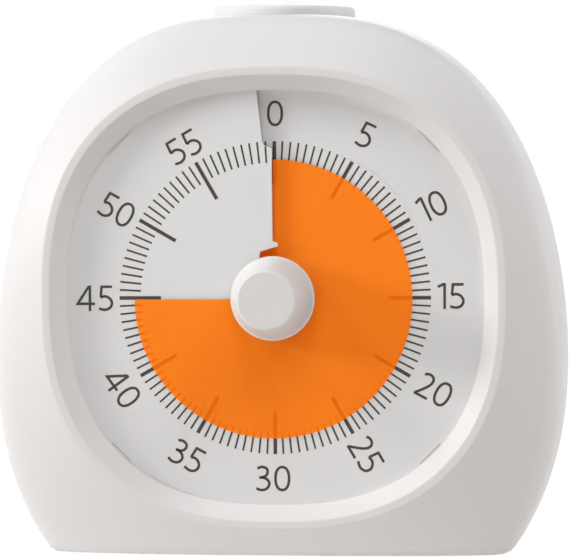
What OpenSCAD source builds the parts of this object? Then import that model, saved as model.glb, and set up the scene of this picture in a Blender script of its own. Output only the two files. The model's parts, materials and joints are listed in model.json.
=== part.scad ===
/* [Body] */
// Width of the body at its widest line
body_w = 95; // [92:1:110]
// Height of the widest line above the base
waist_h = 32; // [30:0.5:36]
// Height of the body above its widest line
crown_h = 57.5; // [56:0.5:64]
// Depth of the belly curve below the widest line, before the flat base cuts it
belly_h = 49; // [47:0.5:56]
// Fullness of the crown's sides, 2 is an ellipse
crown_side = 2.9; // [2.5:0.05:3.2]
// Fullness of the crown's top, 2 is an ellipse
crown_top = 1.9; // [1.8:0.05:2.3]
// Squareness of the belly, 2 is an ellipse
belly_square = 2.3; // [2.1:0.05:2.6]
// Depth from the rim to the widest line
front_d = 17; // [16:0.5:20]
// Depth from the widest line to the back face
rear_d = 22; // [20:0.5:26]
// How far the front and back bevels spread for each mm of depth
bevel_slope = 2; // [1.6:0.1:2.6]
// Tightness of the shoulder between bevel and side
shoulder_k = 4; // [3:0.5:6]
// Barrel of the side, as a share of the bevel's spread
barrel = 0.05; // [0.02:0.01:0.1]
// Wall of the housing and rear cover
wall = 2.2; // [1.8:0.1:2.6]
// Half size of the flat back face
back_r = 38; // [36:0.5:40]
// Height of the middle of the back face
back_z = 42; // [40:0.5:44]
// Depth of the rear cover, from the parting line to the back face
cover_d = 6.4; // [6:0.1:7.4]

/* [Window and dial] */
// Height of the dial's centre above the base
window_z = 42.4; // [41.8:0.1:43.4]
// Half width of the rim
rim_w = 38.4; // [37.6:0.1:39.2]
// Half height of the rim
rim_h = 38; // [37.4:0.1:38.8]
// Squareness of the rim and dial outlines
window_square = 2.44; // [2.2:0.02:2.7]
// Width of the flat rim
rim_flat = 1.3; // [1:0.1:1.8]
// How far the inner wall runs in from the rim to the dial
taper = 2.4; // [1.8:0.1:3]
// Wall around the dial
tube_t = 2.2; // [1.8:0.1:2.4]
// Depth from the rim down to the dial at its mean height
dial_depth = 3.5; // [3.2:0.1:4.4]
// Rise of the dial in one turn, which opens the slit for the disc
pitch = 1.5; // [1.4:0.05:1.8]
// Thickness of the dial
dial_t = 0.8; // [0.6:0.05:0.9]
// Length of each corner slot in the dial
slot_l = 4.7; // [3:0.1:6]
// Width of each corner slot in the dial
slot_w = 0.35; // [0.25:0.05:0.6]

/* [Timer disc] */
// Radius of the coloured disc
disc_r = 22.9; // [20:0.1:24]
// Thickness of the coloured disc
disc_t = 0.3; // [0.2:0.05:0.35]
// Minutes shown at rest
minutes_set = 45; // [15:1:55]
// Radius of the disc's hub
hub_r = 4.6; // [4:0.1:5]
// Radius of the dial's centre hole
dial_hole_r = 6; // [5.6:0.1:6.4]

/* [Knob] */
// How far the knob stands out of the rim
knob_out = 8; // [7:0.5:11]
// Radius of the knob's front face
knob_face_r = 4.65; // [4.2:0.05:5.5]
// Largest radius of the knob
knob_base_r = 6.95; // [6.8:0.05:8]
// Height of the knob's straight foot
knob_skirt = 0.8; // [0.5:0.1:2]
// Radius of the knob's edges
knob_edge = 0.5; // [0.3:0.1:0.8]
// Radius of the spindle
spindle_r = 2; // [1.8:0.1:2.4]
// Distance from the spindle's axis to its flat
spindle_flat = 1.5; // [1.3:0.05:1.6]
// Depth of the spindle in the knob
knob_grip = 8; // [6:0.5:8.5]

/* [Movement] */
// Thickness of the mounting plate
plate_t = 1.5; // [1.2:0.1:2]
// Teeth of the main wheel on the spindle
main_teeth = 60; // [60:1:60]
// Teeth of the transfer pinion
pinion_teeth = 10; // [10:1:10]
// Teeth of the transfer wheel
transfer_teeth = 48; // [48:1:48]
// Teeth of the motor pinion
motor_teeth = 12; // [12:1:12]
// Tooth module of the main wheel
main_module = 0.5; // [0.45:0.01:0.52]
// Tooth module of the transfer wheel
motor_module = 0.4; // [0.36:0.01:0.42]
// Play between meshing teeth
backlash = 0.12; // [0.08:0.01:0.16]
// Thickness of the main wheel
main_wheel_t = 2; // [1.6:0.1:2.2]
// Thickness of the transfer wheel and the motor pinion
thin_wheel_t = 1.2; // [1:0.1:1.5]
// Radius of the motor can
motor_r = 7.5; // [7:0.1:8]
// Depth of the motor can
motor_d = 5; // [4.5:0.1:5.6]
// Wall of the motor can
motor_wall = 0.5; // [0.4:0.1:0.6]
// Radius of the motor's rotor
rotor_r = 3; // [2.6:0.1:3.4]
// Radius of the transfer gear's pin and the motor's shaft
pin_r = 0.75; // [0.6:0.05:0.8]
// Radius of the spindle's rear journal
rear_journal_r = 1.5; // [1.2:0.1:1.6]
// Wall of the movement cover
cover_wall = 1.2; // [1:0.1:1.5]

/* [Top button] */
// Radius of the top button
button_r = 11.9; // [10:0.1:12.5]
// Height of the button's crown above the body
button_out = 2.15; // [1.8:0.05:3]
// Rise of the button's crown above its edge
button_crown = 0.9; // [0.5:0.1:1.4]
// Travel of the top button
button_travel = 1.2; // [0.8:0.1:1.5]
// Wall of the top button
button_wall = 1.6; // [1.2:0.1:2]
// Radius of the button spring
spring_r = 8.4; // [7.6:0.1:8.6]
// Radius of the button spring's wire
spring_wire = 0.3; // [0.2:0.05:0.4]

/* [Battery] */
// Diameter of the battery
cell_d = 14.2; // [14:0.1:14.5]
// Length of the battery with its cap
cell_l = 50.5; // [49.5:0.1:50.7]
// Height of the battery's axis above the base
cell_z = 24.5; // [24:0.1:26]
// Room for the contact spring
contact_l = 3.2; // [2.8:0.1:4]
// Thickness of the battery door
door_t = 1.6; // [1.4:0.1:1.8]
// Overlap of the door around the battery bay
door_lap = 2; // [1.6:0.1:2.4]
// Wall of the battery bay
bay_wall = 1.1; // [0.9:0.1:1.2]

/* [Back] */
// Radius of the speaker
speaker_r = 10; // [8:0.5:11]
// Depth of the speaker
speaker_d = 3.6; // [3:0.1:4]
// Radius of the sound holes
sound_hole_r = 0.8; // [0.6:0.1:1]
// Travel of the volume switch
volume_travel = 4; // [3:0.1:5]
// Length of the volume switch's cap
volume_l = 5; // [4:0.1:6]
// Thickness of the circuit boards
board_t = 1.2; // [1:0.1:1.6]
// Radius of the case screws
screw_r = 1.1; // [1:0.05:1.25]
// Radius of the case screws' heads
screw_head_r = 2.1; // [2:0.05:2.3]

/* [Fits] */
// Radial running clearance of shafts
run_fit = 0.05; // [0.03:0.01:0.08]
// Gap between parts that are only laid in or slide
loose_fit = 0.15; // [0.1:0.01:0.25]
// Gap between the disc and the dial, front and back
disc_gap = 0.2; // [0.15:0.01:0.25]

/* [Hidden] */

// Facets of round parts, and of the body's outline
$fn = 48;
side_steps = 72;
window_steps = 72;
coil_steps = 12;
full_turn = 360;

// Rings of the body, as shares of the depth from an end face to the widest line
front_rings = [0, 0.07, 0.14, 0.21, 0.3, 0.44, 0.68];
rear_rings = [0.59, 0.36, 0.23, 0.145, 0.075, 0];
ring_gap = 0.3;

// Depths, from the knob's face to the back face, with the middle at zero
waist_y = (front_d + knob_out - rear_d) / 2;
rim_y = waist_y - front_d;
back_y = waist_y + rear_d;
part_y = back_y - cover_d;
dial_y = rim_y + dial_depth;
seat_gap = 0.3;
disc_front_y = dial_y - pitch / 2 - disc_gap - disc_t;
disc_back_y = dial_y + 1.5 * pitch - disc_gap;
plate_y = disc_back_y + seat_gap;
plate_back_y = plate_y + plate_t;
knob_front_y = rim_y - knob_out;
knob_back_y = disc_front_y - seat_gap;
wheel_gap = 0.4;
motor_gap = 0.6;
main_y = plate_back_y + wheel_gap;
main_back_y = main_y + main_wheel_t;
thin_y = main_back_y + 2 * wheel_gap;
thin_back_y = thin_y + thin_wheel_t;
motor_y = thin_back_y + motor_gap;
movement_y = motor_y + motor_d;
bearing_floor = 1;
inner_back_y = back_y - wall;

// Window
dial_in = rim_flat + taper;
tube_in = dial_in - tube_t;
plate_in = tube_in + 1;
taper_y = dial_y - pitch / 2 - disc_gap;
dial_fit = 0.05;
dial_step = pitch - dial_t;
skirt_t = 1.2;
skirt_in = 2;
skirt_step = 0.15;
skirt_start = 12;
slit_overlap = 6;
landing_in = 2;
lip_points = [[-1.6, 0.3], [-1.9, 1]];
lip_top_x = -2.9;
notch_x = -2.4;
notch_low = 1;
notch_high = 3.8;
tooth_w = 0.6;
tooth_low = 3.9;
tooth_high = 4.5;

cut_over = 0.2;

// Fasteners
boss_r = 3;
small_boss_r = 2.5;
screw_head_h = 1.6;
case_screw_l = 8;
top_boss_in = 9.4;
top_boss_drop = 7;
low_boss_in = 15.5;
low_boss_z = 11;
top_boss = [rim_w - top_boss_in, window_z + rim_h - top_boss_drop];
low_boss = [body_w / 2 - low_boss_in, low_boss_z];
seat_t = 1;
ear_in = 1.4;
ear_x = (rim_w - tube_in + body_w / 2 - wall) / 2 - ear_in;
ear_z = 9;
ear_l = 7;
small_screw_r = 0.9;
small_head_r = 1.6;
small_head_h = 1.1;
plate_screw_l = 5;

// Knob and spindle
foot_edge = 0.3;
flat_over = 0.1;

// Gear train, seen from the front
tooth_addendum = 0.8;
tooth_dedendum = 1.05;
pressure_angle = 25;
mesh_gap = 0.05;
transfer_x = main_module * (main_teeth + pinion_teeth) / 2 + mesh_gap;
motor_z = motor_module * (transfer_teeth + motor_teeth) / 2 + mesh_gap;
rotor_gap = 0.4;
bearing_wall = 1.4;
shaft_end_gap = 0.2;
main_tip_r = main_module * (main_teeth / 2 + tooth_addendum);
transfer_tip_r = motor_module * (transfer_teeth / 2 + tooth_addendum);
box_left = -main_tip_r - 1;
box_right = transfer_x + transfer_tip_r + 1;
box_low = -main_tip_r - 1;
box_high = motor_z + motor_r + 1;
wheel_holes = 5;
box_boss_r = 2.4;
box_boss_in = 2;
box_posts = [[box_left, box_low, 1, 1], [box_left, box_high, 1, -1],
    [box_right, box_low, -1, 1], [box_right, box_high, -1, -1]];

// Top button
button_z = waist_h + crown_h + button_out;
button_edge_z = button_z - button_crown;
button_hole_r = button_r + loose_fit;
flange_r = button_hole_r + 1.2;
flange_t = 1;
button_edge = 0.3;
spring_turns = 5;
collar_r = button_hole_r + 1.8;
collar_drop = 4.9;
collar_h = 10;
collar_z = waist_h + crown_h - collar_drop;
button_y = (rim_y + back_y) / 2;
bracket_z = collar_z - 4.8;
bracket_t = 1.5;
bracket_boss_gap = 1.75;
bracket_boss_x = flange_r + small_boss_r + bracket_boss_gap;
bracket_half_l = bracket_boss_x + small_boss_r + 0.5;
bracket_half_w = 6.5;
bracket_boss_h = 12;
bracket_bite = 4;
press_gap = 0.05;
switch_w = 6;
switch_h = 3.4;
switch_margin = 2.2;
plunger_r = 1.7;
plunger_h = 0.5;
plunger_z = bracket_z + board_t + switch_h + plunger_h;
stem_r = 2.2;
stem_z = plunger_z + button_travel + press_gap;
button_ceiling_z = button_edge_z - button_wall;

// Battery bay
cell_gap = 0.1;
bay_gap = 0.3;
door_gap = 0.45;
contact_t = 0.4;
bay_half_l = (cell_l + contact_l + 2 * contact_t) / 2;
bay_half_h = cell_d / 2 + bay_gap;
door_in_y = back_y - door_t;
cell_y = door_in_y - door_gap - cell_d / 2;
bay_floor_y = cell_y - cell_d / 2 - cell_gap;
door_half_l = bay_half_l + door_lap;
door_half_h = bay_half_h + door_lap;
door_low_z = cell_z - door_half_h;
tab_x = 14;
tab_l = 6;
tab_t = 1;
tab_reach = 1.2;
tab_gap = 0.15;
tab_pocket_d = 1.5;
tab_pocket_h = 4;
web_t = 0.65;
thumb_half = 5;
thumb_h = 2.5;
groove_half = 6;
groove_w = 0.6;
groove_d = 0.4;
groove_pitch = 1.4;
groove_drop = 2.9;
cap_r = 2.75;
cap_l = 1;
contact_half = 4.6;
contact_wide_r = 4;
contact_narrow_r = 2.6;
contact_wire = 0.3;
contact_turns = 3;

// Back
speaker_at = [-14, 60];
speaker_ring = 1.1;
sound_margin = 1;
sound_pitch = 3.2;
board_at = [14, 60];
board_w = 22;
board_h = 28;
volume_at = [16, 62];
switch_body = [8.6, 3.6, 4.4];
switch_depth = 2.1;
board_back_y = inner_back_y - switch_body[1] - switch_depth;
volume_w = 3.6;
volume_t = 1.2;
recess_d = 1.5;
slider_sink = 0.2;
lever_bite = 1.5;
lever_slot_d = 1.6;
magnet_t = 1;
chip_w = 7;
chip_t = 1.2;
chip_drop = 2.5;
lever_w = 1.6;
board_bite = 4;
board_post_in = 3.5;
board_posts = [for (s = [-1, 1])
    [board_at[0] + s * (board_w / 2 - board_post_in), board_at[1] + s * (board_h / 2 - board_post_in)]];

// ---- shared shapes ----

function mix(a, b, t) = a + (b - a) * t;
function bend(c, n) = sign(c) * pow(abs(c), 2 / n);

// Share of the way from an end face's outline to the widest outline, v deep behind that face
function spread(v, depth, run) =
    v <= 0 ? 0 :
    let (line = bevel_slope * v / run, side = 1 - barrel * pow(1 - v / depth, 2))
    pow(pow(line, -shoulder_k) + pow(side, -shoulder_k), -1 / shoulder_k);

// Outline at depth y: half width, middle, height above and depth below it, then the exponents
// of the sides and the top above the middle, and of the belly below it
function outline(y) =
    let (front = y < waist_y, depth = front ? front_d : rear_d, v = front ? y - rim_y : back_y - y,
        run = body_w / 2 - (front ? rim_w : back_r), f = spread(v, depth, run) / spread(depth, depth, run),
        end = front ? [rim_w, window_z, rim_h, rim_h] : [back_r, back_z, back_r, back_r])
    mix(concat(end, [window_square, window_square, window_square]),
        [body_w / 2, waist_h, crown_h, belly_h, crown_side, crown_top, belly_square], f);

// One closed ring of the body, before its base is cut flat
function ring(y, o, inset) =
    [for (i = [0:side_steps - 1])
        let (t = i * 360 / side_steps, up = sin(t) > 0)
        [(o[0] - inset) * bend(cos(t), up ? o[4] : o[6]), y,
            o[1] + (o[up ? 2 : 3] - inset) * bend(sin(t), up ? o[5] : o[6])]];

// Closed skin over rings that all have the same number of points, the first ring in front
module skin(rings) {
    count = len(rings[0]);
    last = len(rings) - 1;
    walls = [for (j = [0:last - 1], i = [0:count - 1])
        let (k = (i + 1) % count)
        each [[j * count + i, j * count + k, (j + 1) * count + i],
            [j * count + k, (j + 1) * count + k, (j + 1) * count + i]]];
    front = [for (i = [count - 1:-1:0]) i];
    back = [for (i = [0:count - 1]) last * count + i];
    polyhedron([for (r = rings) each r], concat(walls, [front, back]));
}

// Depths of the body's rings between two depths, closer together near the bevels
function ring_depths(from, to) =
    let (front = [for (share = front_rings) rim_y + share * front_d],
        back = [for (share = rear_rings) back_y - share * rear_d])
    [from, for (y = concat(front, [waist_y], back)) if (y > from + ring_gap && y < to - ring_gap) y, to];

// Body between two depths, cut flat at the height base: inset is taken off all round, and sets
// the bevels back
module body_solid(from, to, inset, base) {
    lag = inset / 2;
    intersection() {
        skin([for (y = ring_depths(from, to))
            let (at = y < waist_y ? min(waist_y, max(rim_y, y - lag)) : max(waist_y, min(back_y, y + lag)))
            ring(y, outline(at), inset)]);
        block(-body_w, body_w, from - 1, to + 1, base, base + 2 * crown_h);
    }
}

// Outline of the rim, set in by the given width
function window_points(inset) =
    [for (i = [0:window_steps - 1]) let (t = i * 360 / window_steps)
        [(rim_w - inset) * bend(cos(t), window_square), (rim_h - inset) * bend(sin(t), window_square)]];

function window_ring(inset, y) = [for (p = window_points(inset)) [p[0], y, window_z + p[1]]];

// Children stand on the plane at depth y, drawn as seen from the front, growing towards the viewer
module facing(x, y, z) {
    translate([x, y, z]) rotate([90, 0, 0]) children();
}

// Cylinder along the depth, from one depth to another
module rod(x, z, r, from, to) {
    facing(x, to, z) cylinder(r = r, h = to - from);
}

module window_prism(inset, from, to) {
    facing(0, to, window_z) linear_extrude(height = to - from) polygon(window_points(inset));
}

module block(x0, x1, y0, y1, z0, z1) {
    translate([x0, y0, z0]) cube([x1 - x0, y1 - y0, z1 - z0]);
}

// Screw along the depth: its head lies behind the seat and its shank points to the front
module screw(x, z, seat, shank, length, head_r, head_h) {
    difference() {
        union() {
            rod(x, z, shank, seat - length, seat);
            rod(x, z, head_r, seat, seat + head_h);
        }
        slot = shank * 0.45;
        block(x - slot / 2, x + slot / 2, seat + head_h / 2, seat + head_h + 1, z - shank, z + shank);
        block(x - shank, x + shank, seat + head_h / 2, seat + head_h + 1, z - slot / 2, z + slot / 2);
    }
}

function involute(r, base) = r <= base ? 0 : let (a = acos(base / r)) tan(a) * 180 / PI - a;

// Outline of a gear: the first tooth points at the angle phase
function gear_points(teeth, module_size, phase) =
    let (pitch_r = module_size * teeth / 2, base_r = pitch_r * cos(pressure_angle),
        half = 90 / teeth - backlash / 4 / pitch_r * 180 / PI,
        radii = [pitch_r - tooth_dedendum * module_size, pitch_r - 0.4 * module_size, pitch_r,
            pitch_r + 0.45 * module_size, pitch_r + tooth_addendum * module_size],
        widths = [for (r = radii) half + involute(pitch_r, base_r) - involute(r, base_r)])
    [for (i = [0:teeth - 1], s = [-1, 1], j = [0:4])
        let (k = s < 0 ? j : 4 - j, t = phase + i * 360 / teeth + s * widths[k])
        [radii[k] * cos(t), radii[k] * sin(t)]];

module gear(teeth, module_size, phase, thick) {
    linear_extrude(height = thick) polygon(gear_points(teeth, module_size, phase));
}

// Tube swept along points, each ring in the plane given by two directions
module wire(points, sides_u, sides_v, r, sides = 6) {
    rings = [for (i = [0:len(points) - 1]) [for (s = [0:sides - 1])
        points[i] + r * cos(s * 360 / sides) * sides_u[i] + r * sin(s * 360 / sides) * sides_v[i]]];
    skin(rings);
}

// Coil spring along Z, from one height to another
module coil(r0, r1, wire_r, from, to, turns) {
    steps = turns * coil_steps;
    step = full_turn / coil_steps;
    low = from + wire_r;
    high = to - wire_r;
    at = [for (i = [0:steps]) let (t = i * step, r = mix(r0, r1, i / steps))
        [r * cos(t), r * sin(t), mix(low, high, i / steps)]];
    out = [for (i = [0:steps]) [cos(i * step), sin(i * step), 0]];
    up = [for (i = [0:steps]) [0, 0, 1]];
    wire(at, out, up, wire_r);
}

// ---- housing ----

module case_boss_places() {
    for (side = [-1, 1], p = [top_boss, low_boss]) translate([side * p[0], 0, p[1]]) children();
}

module ear_places() {
    for (sx = [-1, 1], sz = [-1, 1]) translate([sx * ear_x, 0, window_z + sz * ear_z]) children();
}

module front_housing() {
    color("white") difference() {
        union() {
            difference() {
                body_solid(rim_y, part_y, 0, 0);
                body_solid(rim_y + wall, part_y + 1, wall, wall);
            }
            intersection() {
                body_solid(rim_y + wall / 2, part_y, wall / 2, wall / 2);
                union() {
                    window_prism(tube_in, rim_y, plate_y);
                    case_boss_places() rod(0, 0, boss_r, rim_y, part_y);
                    ear_places() rod(0, 0, small_boss_r, rim_y, plate_y);
                    translate([0, button_y, collar_z]) cylinder(r = collar_r, h = collar_h);
                    for (side = [-1, 1]) translate([side * bracket_boss_x, button_y, bracket_z])
                        cylinder(r = small_boss_r, h = bracket_boss_h);
                }
            }
        }
        skin([window_ring(rim_flat - cut_over, rim_y - cut_over), window_ring(rim_flat, rim_y),
            window_ring(dial_in, taper_y)]);
        window_prism(dial_in, taper_y - 0.01, plate_y + 1);
        translate([0, button_y, collar_z - 1]) cylinder(r = button_hole_r, h = collar_h + 2);
        case_boss_places() rod(0, 0, screw_r, part_y - case_screw_l, part_y + 1);
        ear_places() rod(0, 0, small_screw_r, plate_y - plate_screw_l + plate_t, plate_y + 1);
        for (side = [-1, 1]) translate([side * bracket_boss_x, button_y, bracket_z - 1])
            cylinder(r = small_screw_r, h = bracket_bite + 1);
    }
}

module sound_holes() {
    for (i = [-2:2], j = [-2:2]) {
        x = sound_pitch * (i + j / 2);
        z = sound_pitch * j * sqrt(3) / 2;
        if (norm([x, z]) < speaker_r - sound_hole_r - sound_margin)
            rod(speaker_at[0] + x, speaker_at[1] + z, sound_hole_r, inner_back_y - 1, back_y + 1);
    }
}

module rear_cover() {
    seat_y = part_y + seat_t;
    color("white") difference() {
        union() {
            difference() {
                body_solid(part_y, back_y, 0, 0);
                body_solid(part_y - 1, inner_back_y, wall, wall);
            }
            intersection() {
                body_solid(part_y, back_y - wall / 2, wall / 2, wall / 2);
                case_boss_places() rod(0, 0, boss_r, part_y, back_y);
            }
            block(-bay_half_l - bay_wall, bay_half_l + bay_wall, bay_floor_y - bay_wall,
                inner_back_y, cell_z - bay_half_h - bay_wall, cell_z + bay_half_h + bay_wall);
            rod(speaker_at[0], speaker_at[1], speaker_r + loose_fit + speaker_ring,
                inner_back_y - speaker_d / 2, inner_back_y);
            for (p = board_posts) rod(p[0], p[1], small_boss_r, board_back_y, inner_back_y);
        }
        rod(speaker_at[0], speaker_at[1], speaker_r + loose_fit, inner_back_y - speaker_d, inner_back_y);
        sound_holes();
        block(-bay_half_l, bay_half_l, bay_floor_y, back_y + 1, cell_z - bay_half_h, cell_z + bay_half_h);
        block(-door_half_l - loose_fit, door_half_l + loose_fit, door_in_y, back_y + 1,
            door_low_z - loose_fit, cell_z + door_half_h + loose_fit);
        for (side = [-1, 1])
            block(side * tab_x - tab_l / 2 - loose_fit, side * tab_x + tab_l / 2 + loose_fit,
                inner_back_y - tab_t - tab_pocket_d, door_in_y + 0.1, door_low_z - 0.1,
                door_low_z + tab_pocket_h);
        block(-thumb_half, thumb_half, door_in_y, back_y + 1,
            cell_z + door_half_h, cell_z + door_half_h + thumb_h);
        case_boss_places() {
            rod(0, 0, screw_r + 0.15, part_y - 1, back_y);
            rod(0, 0, screw_head_r + 0.2, seat_y, back_y + 1);
        }
        for (p = board_posts) rod(p[0], p[1], small_screw_r, board_back_y - 1, board_back_y + board_bite);
        block(volume_at[0] - (volume_l + volume_travel) / 2 - loose_fit,
            volume_at[0] + (volume_l + volume_travel) / 2 + loose_fit, back_y - recess_d, back_y + 1,
            volume_at[1] - volume_w / 2 - loose_fit, volume_at[1] + volume_w / 2 + loose_fit);
        block(volume_at[0] - (lever_w + volume_travel) / 2 - loose_fit,
            volume_at[0] + (lever_w + volume_travel) / 2 + loose_fit, inner_back_y - 1, back_y,
            volume_at[1] - lever_w / 2 - loose_fit, volume_at[1] + lever_w / 2 + loose_fit);
    }
}

// ---- dial and disc ----

// Point on a turn that rises clockwise towards the viewer: angle clockwise from twelve, height
function turn_point(angle, r, rise) =
    [r * sin(angle), dial_y - pitch * (angle / 360 - 0.5) - rise, window_z + r * cos(angle)];

// Slab that follows the turn between two angles; back and front are heights above the dial's face
module turn_slab(from, to, steps, back, front, inner, outer) {
    skin([for (i = [0:steps])
        let (a = mix(from, to, i / steps))
        [turn_point(a, inner, front), turn_point(a, outer(a), front),
            turn_point(a, outer(a), back), turn_point(a, inner, back)]]);
}

// Radius of the window at an angle clockwise from twelve, set in by the given width
function window_radius(angle, inset) =
    pow(pow(abs(sin(angle)) / (rim_w - inset), window_square)
        + pow(abs(cos(angle)) / (rim_h - inset), window_square), -1 / window_square);

// Outline of the window at equal angles clockwise from twelve, set in by the given width
function dial_outline(inset) =
    [for (i = [0:window_steps - 1])
        let (a = i * 360 / window_steps, w = window_radius(a, inset)) [w * sin(a), w * cos(a)]];

// Ring under the dial that stands on the mounting plate, filled up to the rising plate
module dial_skirt(edge_in, skirt_end) {
    flat_y = dial_y + pitch / 2 + dial_t / 2;
    facing(0, plate_y, window_z) linear_extrude(height = plate_y - flat_y) difference() {
        polygon(dial_outline(edge_in));
        polygon(dial_outline(skirt_end));
    }
    skin([for (i = [skirt_start:window_steps])
        let (a = i * 360 / window_steps, out_r = window_radius(a, edge_in + skirt_step),
            in_r = window_radius(a, skirt_end - skirt_step), s = sin(a), c = cos(a))
        [turn_point(a, in_r, -dial_t / 2), turn_point(a, out_r, -dial_t / 2),
            [out_r * s, flat_y + skirt_step, window_z + out_r * c],
            [in_r * s, flat_y + skirt_step, window_z + in_r * c]]]);
}

// The dial rises one pitch in a turn, so that a slit opens at twelve for the disc
module dial_plate() {
    edge_in = dial_in + dial_fit;
    top_r = rim_h - dial_in;
    corner_r = window_radius(45, dial_in);
    landing_r = disc_r + landing_in;
    lip_y = dial_y - pitch / 2;
    cut_y = lip_y + dial_t + dial_step / 2;
    color("whitesmoke") difference() {
        union() {
            turn_slab(0, full_turn, window_steps, -dial_t, 0, dial_hole_r,
                function (a) window_radius(a, edge_in));
            turn_slab(-slit_overlap, 0.5, 2, skirt_step - dial_t, -skirt_step, landing_r,
                function (a) window_radius(a, edge_in + skirt_step));
            dial_skirt(edge_in + skirt_in, edge_in + skirt_in + skirt_t);
            block(-0.2, tooth_w, lip_y + skirt_step, lip_y + dial_t - skirt_step,
                window_z + hub_r + tooth_low, window_z + hub_r + tooth_high);
        }
        facing(0, cut_y, window_z) linear_extrude(height = 2 * pitch) {
            polygon([[0.01, landing_r], for (p = lip_points) [p[0], landing_r + p[1]],
                [lip_top_x, top_r + 1], [0.01, top_r + 1]]);
            polygon([[0.01, hub_r + notch_low], [notch_x, hub_r + notch_low], [notch_x, hub_r + 3],
                [0.01, hub_r + notch_high]]);
        }
        for (turn = [45:90:315]) translate([0, 0, window_z]) rotate([0, turn, 0])
            block(-slot_l / 2, slot_l / 2, dial_y - pitch, plate_y + 1,
                corner_r - slot_w * 2, corner_r - slot_w);
    }
}

// Section of the spindle: a circle with one flat
module flatted(r, flat) {
    difference() {
        circle(r = r);
        translate([flat, -r - 1]) square([r + 2, 2 * r + 2]);
    }
}

module flatted_rod(r, flat, from, to) {
    facing(0, to, window_z) linear_extrude(height = to - from) flatted(r, flat);
}

module timer_disc() {
    shown = 6 * minutes_set;
    front = dial_y - pitch * (shown / 360 - 0.5) - disc_gap - disc_t;
    color("darkorange") difference() {
        union() {
            turn_slab(shown - full_turn, shown, window_steps, disc_gap, disc_gap + disc_t,
                hub_r - 0.5, function (a) disc_r);
            rod(0, window_z, hub_r, front, front + pitch + disc_t);
        }
        flatted_rod(spindle_r + run_fit, spindle_flat + run_fit, front - 1, front + pitch + 1);
    }
}

// ---- knob and spindle ----

module knob() {
    length = knob_back_y - knob_front_y;
    wide = knob_skirt + knob_edge;
    color("white") difference() {
        facing(0, knob_back_y, window_z) rotate_extrude()
            polygon([[0, 0], [knob_base_r - foot_edge, 0], [knob_base_r, wide - knob_edge],
                [knob_base_r, wide], [knob_face_r + knob_edge / 3, length - knob_edge],
                [knob_face_r - knob_edge / 2, length], [0, length]]);
        flatted_rod(spindle_r, spindle_flat, knob_back_y - knob_grip, knob_back_y + 1);
    }
}

module spindle() {
    round_y = plate_y - flat_over;
    color("silver") {
        flatted_rod(spindle_r, spindle_flat, knob_back_y - knob_grip, round_y);
        rod(0, window_z, spindle_r, round_y, main_back_y);
        rod(0, window_z, rear_journal_r, main_back_y, movement_y - bearing_floor - shaft_end_gap);
    }
}

// ---- movement ----

module mounting_plate() {
    color("lightgray") difference() {
        union() {
            window_prism(plate_in, plate_y, plate_back_y);
            ear_places() rod(0, 0, small_boss_r, plate_y, plate_back_y);
            for (sx = [-1, 1], sz = [-1, 1])
                block(sx * ear_x - (sx > 0 ? ear_l : 0), sx * ear_x + (sx < 0 ? ear_l : 0),
                    plate_y, plate_back_y,
                    window_z + sz * ear_z - small_boss_r, window_z + sz * ear_z + small_boss_r);
        }
        rod(0, window_z, spindle_r + run_fit, plate_y - 1, plate_back_y + 1);
        rod(transfer_x, window_z, pin_r, plate_y - 1, plate_back_y + 1);
        ear_places() rod(0, 0, small_screw_r, plate_y - 1, plate_back_y + 1);
        box_post_places() rod(0, 0, small_screw_r, plate_y - 1, plate_back_y + 1);
    }
}

module box_post_places() {
    for (p = box_posts)
        translate([p[0] + p[2] * box_boss_in, 0, window_z + p[1] + p[3] * box_boss_in]) children();
}

module main_wheel() {
    color("ivory") difference() {
        facing(0, main_back_y, window_z) gear(main_teeth, main_module, 0, main_wheel_t);
        rod(0, window_z, spindle_r, main_y - 1, main_back_y + 1);
        for (i = [0:wheel_holes - 1]) facing(0, main_back_y + 1, window_z)
            rotate((i + 0.5) * full_turn / wheel_holes)
            translate([main_tip_r * 0.55, 0]) cylinder(r = main_tip_r * 0.2, h = main_wheel_t + 2);
    }
}

module transfer_gear() {
    front = main_y - shaft_end_gap;
    color("ivory") difference() {
        union() {
            facing(transfer_x, thin_back_y, window_z) gear(transfer_teeth, motor_module, 90, thin_wheel_t);
            facing(transfer_x, thin_y, window_z)
                gear(pinion_teeth, main_module, 180 / pinion_teeth, thin_y - front);
        }
        rod(transfer_x, window_z, pin_r + run_fit, front - 1, thin_back_y + 1);
    }
}

module transfer_pin() {
    color("silver") rod(transfer_x, window_z, pin_r, plate_y, movement_y - bearing_floor);
}

module motor_pinion() {
    color("ivory") {
        facing(transfer_x, thin_back_y + shaft_end_gap, window_z + motor_z)
            gear(motor_teeth, motor_module, -90 + 180 / motor_teeth, thin_wheel_t + 2 * shaft_end_gap);
        rod(transfer_x, window_z + motor_z, pin_r, thin_back_y + shaft_end_gap,
            movement_y - shaft_end_gap / 2);
    }
}

module motor_rotor() {
    color("dimgray") difference() {
        rod(transfer_x, window_z + motor_z, rotor_r, motor_y + motor_wall + rotor_gap,
            movement_y - motor_wall - rotor_gap);
        rod(transfer_x, window_z + motor_z, pin_r, motor_y, movement_y);
    }
}

module motor_coil() {
    color("peru") difference() {
        rod(transfer_x, window_z + motor_z, motor_r - motor_wall, motor_y + motor_wall,
            movement_y - motor_wall);
        rod(transfer_x, window_z + motor_z, rotor_r + 1, motor_y, movement_y);
    }
}

module motor_can() {
    color("silver") difference() {
        rod(transfer_x, window_z + motor_z, motor_r, motor_y, movement_y);
        rod(transfer_x, window_z + motor_z, motor_r - motor_wall, motor_y + motor_wall,
            movement_y - motor_wall);
        rod(transfer_x, window_z + motor_z, pin_r + run_fit, motor_y - 1, movement_y + 1);
    }
}

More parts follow.
